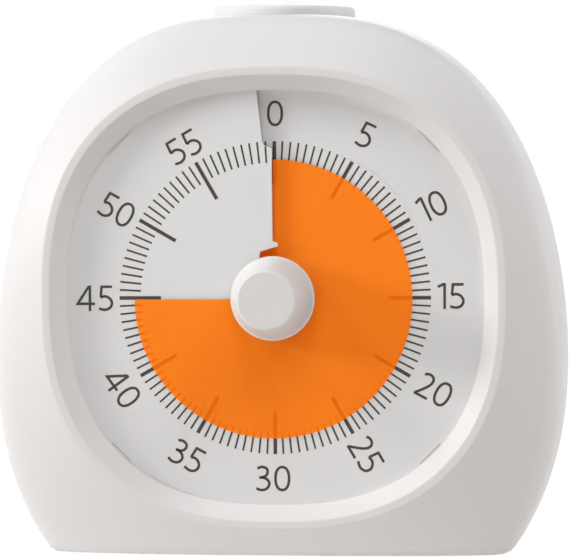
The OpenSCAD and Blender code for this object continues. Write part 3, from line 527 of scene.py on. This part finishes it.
def collar(lip_r):
    """Rings of the tube round the button; its lip follows the case's curved top."""
    a = np.arange(COLLAR_SIDES) * 2 * math.pi / COLLAR_SIDES
    lip = corner(6, (lip_r, COLLAR_DROP), (BUTTON_HOLE_R, COLLAR_DROP), (BUTTON_HOLE_R, COLLAR_LIP))
    rings = []
    for r, drop in lip:
        x, y = r * np.cos(a), BUTTON_Y + r * np.sin(a)
        rings.append(np.stack([x, y, crest_z(x, y) - drop], 1))
    for r in (BUTTON_HOLE_R, COLLAR_R):
        rings.append(on_button(r * np.cos(a), r * np.sin(a), np.full(COLLAR_SIDES, COLLAR_Z)))
    x, y = COLLAR_R * np.cos(a), BUTTON_Y + COLLAR_R * np.sin(a)
    rings.append(np.stack([x, y, crest_z(x, y, COLLAR_COVER)], 1))
    return rings


def post_start(x, z, r):
    """First depth at which a post of radius r stays inside the case's skin."""
    a = np.arange(24) * math.pi / 12
    for y in np.arange(RIM_Y + POST_COVER, PART_Y, 0.25):
        o = outline(y)
        dx, dz = np.abs(x + r * np.cos(a)), z + r * np.sin(a) - o.middle
        up = dz > 0
        half_h = np.where(up, o.high - POST_COVER, o.low - POST_COVER)
        across = (dx / (o.half_w - POST_COVER)) ** np.where(up, o.side, o.belly)
        reach = across + (np.abs(dz) / half_h) ** np.where(up, o.top, o.belly)
        if reach.max() < 1:
            return y
    return PART_Y - 1


def join(piece, *others):
    """Adds the other meshes to the piece."""
    work = bmesh.new()
    for o in (piece, *others):
        work.from_mesh(o.data)
    work.to_mesh(piece.data)
    work.free()
    for o in others:
        bpy.data.objects.remove(o)


BAY_L, BAY_H, CELL_Z, BAY_WALL, BAY_FLOOR_Y = 27.25, 7.4, 24.5, 1.1, 7.15
CELL_Y, CELL_R, CELL_END = 14.35, 7.1, 23.65
DOOR_Y, DOOR_L, DOOR_LOW, DOOR_HIGH, DOOR_CORNER, DOOR_PLAY = 21.9, 29.25, 15.1, 33.9, 0.6, 0.15
TAB_X, TAB_L, TAB_Y = 14.0, 6.0, 20.15
# Opening for a tab: front, back, bottom and top
TAB_SLOT = (18.8, 22, 15, 19.1)
GRIP_L, GRIP_W, GRIP_DEEP, GRIP_DROPS = 6, 0.3, 0.4, (4.3, 2.9, 1.5)
SPEAKER_X, SPEAKER_Z, SPEAKER_R, SPEAKER_WALL = -14.0, 60.0, 10.15, 1.1
SOUND_PITCH, SOUND_R, SOUND_REACH = 3.2, 0.8, 8.2
BOARD_POSTS = [(14 + sx * 7.5, 60 + sz * 10.5) for sx in (-1, 1) for sz in (-1, 1)]
BOARD_POST_R, BOARD_BACK_Y = 2.5, 15.6
VOLUME_X, VOLUME_Z, VOLUME_L, VOLUME_W, VOLUME_DEEP = 16.0, 62.0, 4.65, 1.95, 1.5
LEVER_L, LEVER_W = 2.95, 0.95
SCREW_HOLE_R, SCREW_HEAD_R = 1.25, 2.3
CORNER_STEPS = 6


def panel(x0, x1, z0, z1, y0, y1, r, edge=0.0):
    """Flat panel with round corners; its edges at y1 are rounded by edge."""
    corners = [(x1 - r, z1 - r, 0), (x0 + r, z1 - r, 90), (x0 + r, z0 + r, 180), (x1 - r, z0 + r, 270)]
    brim = corner(5, (0, edge), (0, 0), (edge, 0)) if edge else [(0, 0)]
    rings = []
    for inset, y in [(0, y0)] + [(w, y1 - d) for w, d in brim]:
        ring = []
        for cx, cz, turn in corners:
            for k in range(CORNER_STEPS + 1):
                a = math.radians(turn + k * 90 / CORNER_STEPS)
                ring.append((cx + (r - inset) * math.cos(a), y, cz + (r - inset) * math.sin(a)))
        rings.append(ring)
    return loft(rings)


def sound_holes():
    """Places of the speaker's holes, in rows set off by half a step."""
    for j in range(-2, 3):
        for i in range(-2, 3):
            x, z = SOUND_PITCH * (i + j / 2), SOUND_PITCH * j * math.sqrt(3) / 2
            if math.hypot(x, z) < SOUND_REACH:
                yield SPEAKER_X + x, SPEAKER_Z + z


def rear_cover():
    """Back shell with the battery bay, the speaker's seat and all openings."""
    lip, run = 0.35, BACK_Y - PART_Y - SEAM
    rings = [body_ring(y, WALL, WALL) for y in np.linspace(INNER_BACK_Y, PART_Y, 8)]
    rings += [body_ring(PART_Y + SEAM - d, grow=-w) for w, d in SEAM_CORNER[::-1]]
    rings += [body_ring(BACK_Y - d) for d in (run * np.linspace(1, 0, 40) ** 1.5)[1:] if d > lip / 2]
    rings += [edge_ring(BACK_Y - d, BACK_R, BACK_Z, BACK_R, -w)
              for w, d in corner(6, (lip, lip / 2), (0, 0), (-lip, 0))]
    shell = make("case_rear", loft(rings), CASE_WHITE)
    deep = INNER_BACK_Y + 0.5
    inside = [block(-BAY_L - BAY_WALL, BAY_L + BAY_WALL, BAY_FLOOR_Y - BAY_WALL, deep,
                    CELL_Z - BAY_H - BAY_WALL, CELL_Z + BAY_H + BAY_WALL)]
    inside += [rod(x, z, BOARD_POST_R, BOARD_BACK_Y, deep, 48) for x, z in BOARD_POSTS]
    inside += [rod(SPEAKER_X, SPEAKER_Z, SPEAKER_R + SPEAKER_WALL, 19.5, deep, 96)]
    inside += [rod(x, z, POST_R, PART_Y, INNER_BACK_Y + 0.4, 48) for x, z in CASE_SCREWS]
    carve(shell, merge(*inside), "UNION")
    carve(shell, rod(SPEAKER_X, SPEAKER_Z, SPEAKER_R, 17, INNER_BACK_Y, 96))
    carve(shell, block(-BAY_L, BAY_L, BAY_FLOOR_Y, OUTSIDE_Y, CELL_Z - BAY_H, CELL_Z + BAY_H))
    holes = [panel(-DOOR_L - DOOR_PLAY, DOOR_L + DOOR_PLAY, DOOR_LOW - DOOR_PLAY, DOOR_HIGH + DOOR_PLAY,
                   DOOR_Y, OUTSIDE_Y, DOOR_CORNER)]
    holes += [rod(x, z, SCREW_HOLE_R, PART_Y - 1, OUTSIDE_Y, 32) for x, z in CASE_SCREWS]
    holes += [panel(VOLUME_X - VOLUME_L, VOLUME_X + VOLUME_L, VOLUME_Z - VOLUME_W, VOLUME_Z + VOLUME_W,
                    BACK_Y - VOLUME_DEEP, OUTSIDE_Y, 0.4)]
    holes += [rod(x, z, SOUND_R, INNER_BACK_Y - 1, OUTSIDE_Y, 32) for x, z in sound_holes()]
    carve(shell, merge(*holes))
    holes = [block(s * TAB_X - TAB_L / 2 - DOOR_PLAY, s * TAB_X + TAB_L / 2 + DOOR_PLAY, *TAB_SLOT)
             for s in (-1, 1)]
    holes += [rod(x, z, SCREW_HEAD_R, PART_Y + 1, OUTSIDE_Y, 48) for x, z in CASE_SCREWS]
    holes += [panel(-5, 5, DOOR_HIGH - 0.5, DOOR_HIGH + 2.5, DOOR_Y, OUTSIDE_Y, 0.4),
              block(VOLUME_X - LEVER_L, VOLUME_X + LEVER_L, INNER_BACK_Y - 1, 22.2,
                    VOLUME_Z - LEVER_W, VOLUME_Z + LEVER_W)]
    carve(shell, merge(*holes))
    return shell


def battery_door():
    """Door with three finger grooves and two hooked tabs at its lower edge."""
    door = make("cell_door", panel(-DOOR_L, DOOR_L, DOOR_LOW, DOOR_HIGH, DOOR_Y, BACK_Y, DOOR_CORNER, 0.3),
                CASE_WHITE)
    carve(door, merge(*[
        panel(-GRIP_L, GRIP_L, z - GRIP_W, z + GRIP_W, BACK_Y - GRIP_DEEP, OUTSIDE_Y, 0.28)
        for z in (DOOR_HIGH - drop for drop in GRIP_DROPS)]))
    tabs = []
    for s in (-1, 1):
        x0, x1 = s * TAB_X - TAB_L / 2, s * TAB_X + TAB_L / 2
        tabs.append(block(x0, x1, TAB_Y, DOOR_Y + 0.1, 15.2, 15.85))
        tabs.append(block(x0, x1, TAB_Y, 21.15, 13.9, 15.8))
    join(door, make("tabs", merge(*tabs), CASE_WHITE))
    return door


# ---- dial, disc and print ----


def ramp_y(angle):
    """Depth of the dial's face at an angle clockwise from the slit."""
    return DIAL_Y - PITCH * (angle / 360 - 0.5)


def turn_point(angle, r, rise):
    """Point at rise above the dial's face."""
    a = np.radians(angle)
    return np.stack([r * np.sin(a), ramp_y(angle) - rise, WINDOW_Z + r * np.cos(a)], -1)


def window_radius(angle, inset):
    """Distance of the window's edge from its middle."""
    a, n = np.radians(angle), WINDOW_SQUARE
    across, up = np.abs(np.sin(a)) / (RIM_W - inset), np.abs(np.cos(a)) / (RIM_H - inset)
    return (across ** n + up ** n) ** (-1 / n)


# Slots of the snap hooks: distances from the window's edge, half length, front and depth
SLOT_OUT, SLOT_IN, SLOT_HALF, SLOT_FRONT_Y, SLOT_DEEP = 0.3, 0.55, 2.35, -14.5, 0.22
# Edge of the slit from the hub outwards: across and up from the dial's middle
SLIT_LIP = [(-2.4, 5.6), (-2.4, 6.9), (-2.26, 7.6), (0.57, 8.46), (0.6, 8.5), (0.6, 9.08), (-0.22, 9.38),
            (-0.25, 24.7), (-1.57, 25.15), (-1.9, 25.8), (-2.9, 34.7)]


def dial_plate():
    """Ramp from the slit all round to the slit's lip, as wide as the window."""
    top_r = RIM_H - DIAL_IN - DIAL_FIT
    lip_r = np.array([math.hypot(x, z) for x, z in SLIT_LIP])
    lip_a = np.array([360 + math.degrees(math.atan2(x, z)) for x, z in SLIT_LIP])
    radii = np.unique(np.round(np.concatenate([
        np.linspace(DIAL_HOLE_R, top_r, 60), lip_r[(lip_r > DIAL_HOLE_R) & (lip_r < top_r)],
        [LANDING_R - LANDING_STEP, LANDING_R]]), 3))
    end = np.interp(radii, lip_r, lip_a)
    start = np.where(radii >= LANDING_R, LANDING_TURN, 0.0)
    rings = []
    for s in np.linspace(0, 1, TURN_RINGS):
        a = start + (end - start) * s
        width = window_radius(a, DIAL_IN + DIAL_FIT) - DIAL_HOLE_R
        r = DIAL_HOLE_R + (radii - DIAL_HOLE_R) * width / (top_r - DIAL_HOLE_R)
        rings.append(np.concatenate([turn_point(a, r, 0.0), turn_point(a, r, -DIAL_T)[::-1]]))
    points, faces = loft(rings, caps=False)
    k, n = len(radii), len(rings[0])
    for base in (0, (len(rings) - 1) * n):
        faces += [(base + i, base + i + 1, base + n - 2 - i, base + n - 1 - i) for i in range(k - 1)]
    dial = make("dial", (points, faces), DIAL_WHITE)
    carve(dial, merge(*[snap_slot(turn) for turn in (45, 135, 225, 315)]))
    return dial


def snap_slot(turn):
    """Shape of the slot at one corner of the dial."""
    t = math.radians(turn)
    out, along = np.array([math.sin(t), math.cos(t)]), np.array([math.cos(t), -math.sin(t)])
    far = float(window_radius(np.array(45.0), DIAL_IN))
    flat = [out * (far - d) + along * w for d, w in (
        (SLOT_OUT, -SLOT_HALF), (SLOT_OUT, SLOT_HALF), (SLOT_IN, SLOT_HALF), (SLOT_IN, -SLOT_HALF))]
    return loft([np.array([(p[0], y, WINDOW_Z + p[1]) for p in flat])
                 for y in (SLOT_FRONT_Y, ramp_y(turn) + SLOT_DEEP)])


def timer_disc():
    """A full turn of film; the part past the minutes shown lies under the dial."""
    shown = 6 * MINUTES_SET
    low, high = DISC_GAP, DISC_GAP + DISC_T
    radii = np.array([HUB_R - HUB_LAP, DISC_R, DISC_R, HUB_R - HUB_LAP])
    rings = [turn_point(np.full(4, a), radii, np.array([high, high, low, low])) + DISC_PLAY
             for a in np.linspace(shown - 360, shown, TURN_RINGS)]
    front = ramp_y(shown) - DISC_GAP - DISC_T
    hub = rod(0, WINDOW_Z, HUB_R, front, front + PITCH + DISC_T)
    return make("disc", merge(loft(rings), hub), DISC_ORANGE)


INK_RISE, INK_SINK, MITRE_LIMIT = 0.02, 0.05, 0.4


def ribbon(path, width, closed=False):
    """Left and right edges of a stroke of even width along a path."""
    p = np.array(path, float)
    if closed:
        ahead, behind = np.roll(p, -1, 0), np.roll(p, 1, 0)
    else:
        ahead = np.vstack([p[1:], 2 * p[-1] - p[-2]])
        behind = np.vstack([2 * p[0] - p[1], p[:-1]])
    a, b = p - behind, ahead - p
    a /= np.linalg.norm(a, axis=1)[:, None]
    b /= np.linalg.norm(b, axis=1)[:, None]
    along = a + b
    along /= np.linalg.norm(along, axis=1)[:, None]
    side = np.stack([-along[:, 1], along[:, 0]], 1)
    stretch = 1 / np.maximum(MITRE_LIMIT, (side * np.stack([-a[:, 1], a[:, 0]], 1)).sum(1))
    off = side * (width / 2 * stretch)[:, None]
    return p + off, p - off


def printed(left, right, place, closed=False):
    """Thin layer of ink between two edges, set on the dial by place."""
    rings = []
    for l, r in zip(left, right):
        flat = np.array([l, r, r, l])
        rings.append(place(flat, np.array([INK_RISE, INK_RISE, -INK_SINK, -INK_SINK])))
    return loft(rings, loop=closed)


def on_dial(level):
    """Places flat points on the dial's rising face; the turns start at level degrees."""
    def place(flat, rise):
        a = np.degrees(np.arctan2(flat[:, 0], flat[:, 1]))
        a = np.where(a < level, a + 360, a)
        return turn_point(a, np.hypot(flat[:, 0], flat[:, 1]), rise)
    return place


TICK_COUNT, MAJOR_EVERY = 120, 10
TICK_OUT, MINOR_IN, MAJOR_IN = 25.85, 22.3, 18.9
MINOR_W, MAJOR_W = 0.3, 0.6
# The last tick ends at LAST_OUT on the high side of the slit and goes on over the landing
LAST_OUT, LAST_IN, LAST_SHIFT, ON_LANDING = 25.04, 24.8, 0.16, -10


def ticks():
    marks = []
    for i in range(TICK_COUNT):
        inner, width = (MINOR_IN, MINOR_W) if i % MAJOR_EVERY else (MAJOR_IN, MAJOR_W)
        t = math.radians(3 * i)
        out = np.array([math.sin(t), math.cos(t)])
        spans = [(inner, TICK_OUT, 0 if i else ON_LANDING)]
        if i == TICK_COUNT - 1:
            spans = [(inner, LAST_OUT, 0), (LAST_IN, TICK_OUT, ON_LANDING)]
        for low, high, level in spans:
            path = [out * r for r in np.linspace(low, high, 5)]
            if level == ON_LANDING and i:
                path = [p - np.array([LAST_SHIFT, 0]) for p in path]
            marks.append(printed(*ribbon(path, width), on_dial(level)))
    lip_y = ramp_y(360)
    marks.append(block(-0.26, -0.22, lip_y, lip_y + DIAL_T, WINDOW_Z + MAJOR_IN, WINDOW_Z + DISC_R))
    return make("dial_marks", merge(*marks), PRINT_INK)


def arc(points):
    """Smooth path through points."""
    p = np.array(points, float)
    p = np.vstack([2 * p[0] - p[1], p, 2 * p[-1] - p[-2]])
    out = []
    for i in range(1, len(p) - 2):
        for t in np.linspace(0, 1, 8, endpoint=False):
            out.append(0.5 * ((2 * p[i]) + (p[i + 1] - p[i - 1]) * t
                              + (2 * p[i - 1] - 5 * p[i] + 4 * p[i + 1] - p[i + 2]) * t ** 2
                              + (3 * p[i] - p[i - 1] - 3 * p[i + 1] + p[i + 2]) * t ** 3))
    out.append(p[-2])
    return out


def oval():
    """Stroke of the 0: a superellipse about the middle of the figure."""
    t = np.arange(48) * 2 * math.pi / 48
    return np.stack([0.315 + 0.265 * bend(np.cos(t), 2.25), 0.5 + 0.447 * bend(np.sin(t), 2.25)], 1)


# Strokes of each figure in units of its height: path, closed; then the figure's left and right edge
FIGURES = {
    "0": ([(oval(), True)], 0.0, 0.63),
    "1": ([([(0, 0.855), (0.235, 0.965)], False), ([(0.265, 0), (0.265, 1.0)], False)], -0.02, 0.32),
    "2": ([(arc([(0.06, 0.86), (0.17, 0.93), (0.30, 0.945), (0.43, 0.88), (0.475, 0.74), (0.43, 0.58),
                 (0.30, 0.38), (0.04, 0.07)]), False), ([(0.0, 0.053), (0.57, 0.053)], False)], 0.0, 0.57),
    "3": ([(arc([(0.07, 0.885), (0.18, 0.94), (0.30, 0.945), (0.43, 0.885), (0.47, 0.76), (0.42, 0.63),
                 (0.30, 0.555), (0.14, 0.535)]), False),
           (arc([(0.14, 0.535), (0.32, 0.525), (0.47, 0.44), (0.53, 0.30), (0.47, 0.14), (0.33, 0.06),
                 (0.17, 0.055), (0.02, 0.115)]), False)], 0.0, 0.585),
    "4": ([([(0.48, 0.96), (0.035, 0.285), (0.72, 0.285)], False), ([(0.52, 0), (0.52, 1.0)], False)],
          0.0, 0.72),
    "5": ([([(0.54, 0.95), (0.125, 0.95), (0.09, 0.54)], False),
           (arc([(0.085, 0.53), (0.22, 0.575), (0.36, 0.55), (0.48, 0.45), (0.53, 0.31), (0.48, 0.16),
                 (0.36, 0.075), (0.21, 0.053), (0.02, 0.10)]), False)], 0.0, 0.585),
}
FIGURE_H, STROKE_W, FIGURE_GAP = 4.25, 0.44, 0.14
# The number 0 crosses the top of the dial, so its turns are counted from before it
BEFORE_ZERO = -20
# Each number: minutes, place from the dial's middle across and up, turn clockwise
NUMBERS = [(0, 0.14, 30.43, 0), (5, 15.17, 26.75, 25), (10, 26.06, 15.07, -25),
           (15, 29.15, 0.28, 0), (20, 26.39, -15.18, 28), (25, 15.04, -25.83, 60),
           (30, -0.41, -29.9, 0), (35, -14.74, -26.24, 28), (40, -25.56, -14.96, 54),
           (45, -29.98, -0.05, 0), (50, -26.17, 14.59, 29), (55, -14.87, 24.96, -30)]


def numbers():
    marks = []
    for minutes, x, z, turn in NUMBERS:
        figures = [FIGURES[c] for c in str(minutes)]
        total = sum(f[2] - f[1] for f in figures) + FIGURE_GAP * (len(figures) - 1)
        pen, t = -total / 2, math.radians(turn)
        level = 0 if minutes else BEFORE_ZERO
        for strokes, left, right in figures:
            for path, closed in strokes:
                p = (np.array(path, float) + [pen - left, -0.5]) * FIGURE_H
                p = np.stack([x + p[:, 0] * math.cos(t) + p[:, 1] * math.sin(t),
                              z - p[:, 0] * math.sin(t) + p[:, 1] * math.cos(t)], 1)
                marks.append(printed(*ribbon(p, STROKE_W, closed), on_dial(level), closed))
            pen += right - left + FIGURE_GAP
    return make("dial_numbers", merge(*marks), PRINT_INK)


# ---- knob and button ----


def knob():
    corners = [(0, 0), (6.65, 0), (6.95, 0.8), (6.95, 1.45), (6.7, 1.55), (4.93, 9.62), (4.63, 9.95),
               (4.3, 9.95), (0, 9.95)]
    profile = rounded(corners, [0, 0.1, 0.3, 0.12, 0.08, 0.12, 0.12, 0, 0])
    return make("knob_cap", turned(profile, on_spindle), KNOB_WHITE, 60)


def top_button():
    edge, top, inner = BUTTON_EDGE_Z, BUTTON_EDGE_Z + BUTTON_CROWN, BUTTON_R - BUTTON_WALL
    outer = rounded([(FLANGE_R, COLLAR_Z), (BUTTON_R, COLLAR_Z), (BUTTON_R, edge), (9.0, edge + 0.42),
                     (5.0, top - 0.12), (0, top)], [0, 0, 0.7, 5.0, 5.0, 0], 8)
    profile = [(0, edge - BUTTON_WALL), (inner, edge - BUTTON_WALL), (inner, COLLAR_Z - 1),
               (FLANGE_R, COLLAR_Z - 1)] + outer
    return make("button_cap", turned(profile, on_button), BUTTON_WHITE, 40)


SPRING_R, SPRING_WIRE, SPRING_TURNS, SPRING_LOW, SPRING_HIGH = 8.4, 0.3, 5, 79.8, 89.15
TURN_SIDES, WIRE_SIDES = 48, 12


def button_coil():
    """Coil spring under the button."""
    low, high = SPRING_LOW + SPRING_WIRE, SPRING_HIGH - SPRING_WIRE
    around = np.arange(WIRE_SIDES) * 2 * math.pi / WIRE_SIDES
    reach, lift = SPRING_R + SPRING_WIRE * np.cos(around), SPRING_WIRE * np.sin(around)
    rings = []
    for s in np.linspace(0, 1, TURN_SIDES * SPRING_TURNS + 1):
        t = 2 * math.pi * SPRING_TURNS * s
        rings.append(on_button(reach * math.cos(t), reach * math.sin(t), low + (high - low) * s + lift))
    return make("button_coil", loft(rings), SPRING_STEEL)


def along_cell(a, b, h):
    """Places a turned shape on the cell's axis, across the bay."""
    return np.stack([h, CELL_Y + a, CELL_Z + b], 1)


def cell():
    """Plain cell: a shrunk sleeve, and the steel cap and base that show at its ends."""
    x0, x1, r = -BAY_L + 0.4, CELL_END, CELL_R
    sleeve = rounded([(5.4, x0 + 1.12), (r, x0 + 1.05), (r, x1 - 0.05), (5.6, x1 - 0.12), (5.6, x1 - 0.6),
                      (5.4, x1 - 0.6)], [0, 0.7, 0.7, 0, 0, 0])
    wrap = make("cell_sleeve", turned(sleeve + sleeve[:1], along_cell, 96), CELL_WRAP)
    ends = rounded([(0, x0), (2.75, x0), (2.75, x0 + 1.0), (5.5, x0 + 1.3), (5.5, x1 - 0.35),
                    (0, x1 - 0.35)], [0, 0.45, 0.3, 0.2, 0.4, 0])
    return wrap, make("cell_ends", turned(ends, along_cell, 96), STEEL)


def slider_cap():
    """Ribbed cap of the volume switch, with its lever."""
    x, z, face = VOLUME_X, VOLUME_Z, BACK_Y - 0.2
    body = panel(x - 2.5, x + 2.5, z - 1.8, z + 1.8, face - 1.2, face, 0.35, 0.15)
    lever = block(x - 0.8, x + 0.8, 17.7, face - 1.1, z - 0.8, z + 0.8)
    cap = make("slider_cap", merge(body, lever), SLIDER_GREY)
    ribs = [x + i * 0.9 for i in (-2, -1, 0, 1, 2)]
    carve(cap, merge(*[panel(rib - 0.22, rib + 0.22, z - 1.35, z + 1.35, face - 0.3, face + 1, 0.2)
                       for rib in ribs]))
    return cap


cell_sleeve, cell_ends = cell()
coil = button_coil()
pieces = [
    (front_housing(), "case", "front_housing", "case_white"),
    (rear_cover(), "case", "rear_cover", "case_white"),
    (battery_door(), "door", "battery_door", "case_white"),
    (cell_sleeve, "case", "battery", "cell_wrap"),
    (cell_ends, "case", None, "steel"),
    (slider_cap(), "volume", "volume_slider", "slider_grey"),
    (dial_plate(), "case", "dial_plate", "dial_white"),
    (ticks(), "case", None, "part_black"),
    (numbers(), "case", None, "part_black"),
    (timer_disc(), "disc", "timer_disc", "disc_orange"),
    (knob(), "dial_drive", "knob", "knob_white"),
    (top_button(), "button", "top_button", "button_white"),
    (coil, "case", "button_spring", "spring_steel"),
]
for piece, body, stands_for, finish_slot in pieces:
    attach(piece, body)
    if stands_for:
        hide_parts(stands_for)
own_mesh(coil)

# Materials of the slots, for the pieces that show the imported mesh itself
FINISHES = {
    "case_white": CASE_WHITE, "dial_white": DIAL_WHITE, "disc_orange": DISC_ORANGE,
    "knob_white": KNOB_WHITE, "button_white": BUTTON_WHITE, "frame_grey": FRAME_GREY,
    "gear_ivory": GEAR_IVORY, "steel": STEEL, "spring_steel": SPRING_STEEL,
    "copper_wire": COPPER_WIRE, "magnet_grey": MAGNET_GREY, "board_green": BOARD_GREEN,
    "part_black": PART_BLACK, "speaker_black": SPEAKER_BLACK, "slider_grey": SLIDER_GREY,
    "cell_wrap": CELL_WRAP,
}
for part in frame["record"]["subparts"]:
    cad = frame["nodes"][part["node"]]
    cad.data.materials.clear()
    cad.data.materials.append(FINISHES[part["material_slot"]])

# ---- floor, light and camera, in metres and degrees ----


def background_seen(tree):
    """1 for the rays that show the background: from the camera, mirrored or through glass."""
    ray = node(tree, "ShaderNodeLightPath").outputs
    return chain(tree, ray["Is Camera Ray"], ("MAXIMUM", ray["Is Glossy Ray"]),
                 ("MAXIMUM", ray["Is Transmission Ray"]))


FLOOR_R, FLOOR_SIDES, FLOOR_Z = 2.5, 96, -0.0002
FADE_FROM, FADE_TO, NEAR_WHITE, BACK_WHITE = 0.15, 0.6, 0.88, 1.08


def table_top():
    """Pale round floor under the timer; far from it the background's white takes over."""
    turns = [2 * math.pi * i / FLOOR_SIDES for i in range(FLOOR_SIDES)]
    mesh = bpy.data.meshes.new("floor")
    mesh.from_pydata([(FLOOR_R * math.cos(t), FLOOR_R * math.sin(t), FLOOR_Z) for t in turns],
                     [], [range(FLOOR_SIDES)])
    sheet = bpy.data.objects.new("floor", mesh)
    bpy.context.scene.collection.objects.link(sheet)
    material = bpy.data.materials.new("floor_white")
    material.use_nodes = True
    tree = material.node_tree
    main, output = tree.nodes["Principled BSDF"], tree.nodes["Material Output"]
    main.inputs["Base Color"].default_value = (0.84, 0.81, 0.79, 1)
    main.inputs["Roughness"].default_value = 0.8
    glow = node(tree, "ShaderNodeEmission", {"Color": (1, 1, 1, 1), "Strength": BACK_WHITE})
    where = node(tree, "ShaderNodeTexCoord").outputs["Object"]
    away = node(tree, "ShaderNodeVectorMath", {0: where}, operation="LENGTH").outputs["Value"]
    level = node(tree, "ShaderNodeMapRange", {"Value": away, "From Min": FADE_FROM, "From Max": FADE_TO,
                                              "To Min": NEAR_WHITE, "To Max": 1.0})
    share = chain(tree, background_seen(tree), ("MULTIPLY", level.outputs[0]))
    both = node(tree, "ShaderNodeMixShader", {0: share, 1: main.outputs[0], 2: glow.outputs[0]})
    tree.links.new(both.outputs[0], output.inputs["Surface"])
    mesh.materials.append(material)


MIDDLE, LAMP_D = Vector((0, 0, 0.045)), 0.8
# Name, turn from the front and rise above the middle in degrees, side in metres, power
LAMPS = [("key_light", -72, 15, 0.18, 3.05), ("upper_light", -64, 42, 0.2, 1.4),
         ("top_light", 0, 56, 0.3, 1.5), ("right_light", 56, 52, 0.3, 1.65),
         ("rim_light", 104, 8, 0.35, 1.5), ("back_light", 180, 32, 0.3, 0.9)]


def lamp(name, turn, rise, side, power):
    """Square lamp that shines on the middle of the timer."""
    light = bpy.data.lights.new(name, "AREA")
    light.shape, light.size, light.energy = "SQUARE", side, power
    holder = bpy.data.objects.new(name, light)
    bpy.context.scene.collection.objects.link(holder)
    t, r = math.radians(turn), math.radians(rise)
    away = Vector((math.sin(t) * math.cos(r), -math.cos(t) * math.cos(r), math.sin(r)))
    holder.location = MIDDLE + LAMP_D * away
    holder.rotation_mode = "QUATERNION"
    holder.rotation_quaternion = (-away).to_track_quat("-Z", "Y")


SKY_LIGHT = 0.09


def studio():
    """White world that the lens sees bright and the timer sees dim."""
    world = bpy.data.worlds.new("studio")
    bpy.context.scene.world = world
    world.use_nodes = True
    sky = world.node_tree
    level = node(sky, "ShaderNodeMapRange",
                 {"Value": background_seen(sky), "To Min": SKY_LIGHT, "To Max": 1.0})
    sky.links.new(level.outputs[0], sky.nodes["Background"].inputs["Strength"])
    sky.nodes["Background"].inputs["Color"].default_value = (1, 1, 1, 1)


# Angles in degrees, distance in metres, focal length in pixels of a frame FRAME_W wide
VIEW_AZ, VIEW_EL, VIEW_D, FOCUS, ROLL = 6.83, 1.968, 0.600, 3562.8, -0.285
AIM = Vector((0.000231, 0.0, 0.044931))
FRAME_W, SENSOR, NEAR_CLIP = 569, 36.0, 0.01


def camera():
    """Camera VIEW_D away from AIM, turned about its own axis by ROLL."""
    az, el, roll = (math.radians(v) for v in (VIEW_AZ, VIEW_EL, ROLL))
    back = Vector((math.sin(az) * math.cos(el), -math.cos(az) * math.cos(el), math.sin(el)))
    right = Vector((0, 0, 1)).cross(back).normalized()
    up = back.cross(right)
    right, up = (right * math.cos(roll) + up * math.sin(roll),
                 up * math.cos(roll) - right * math.sin(roll))
    lens = bpy.data.cameras.new("camera")
    lens.lens, lens.sensor_width, lens.clip_start = FOCUS / FRAME_W * SENSOR, SENSOR, NEAR_CLIP
    holder = bpy.data.objects.new("camera", lens)
    bpy.context.scene.collection.objects.link(holder)
    place = Matrix((right, up, back)).transposed().to_4x4()
    place.translation = AIM + back * VIEW_D
    holder.matrix_world = place
    bpy.context.scene.camera = holder


table_top()
for row in LAMPS:
    lamp(*row)
studio()
camera()
bpy.context.scene.view_settings.view_transform = "Standard"
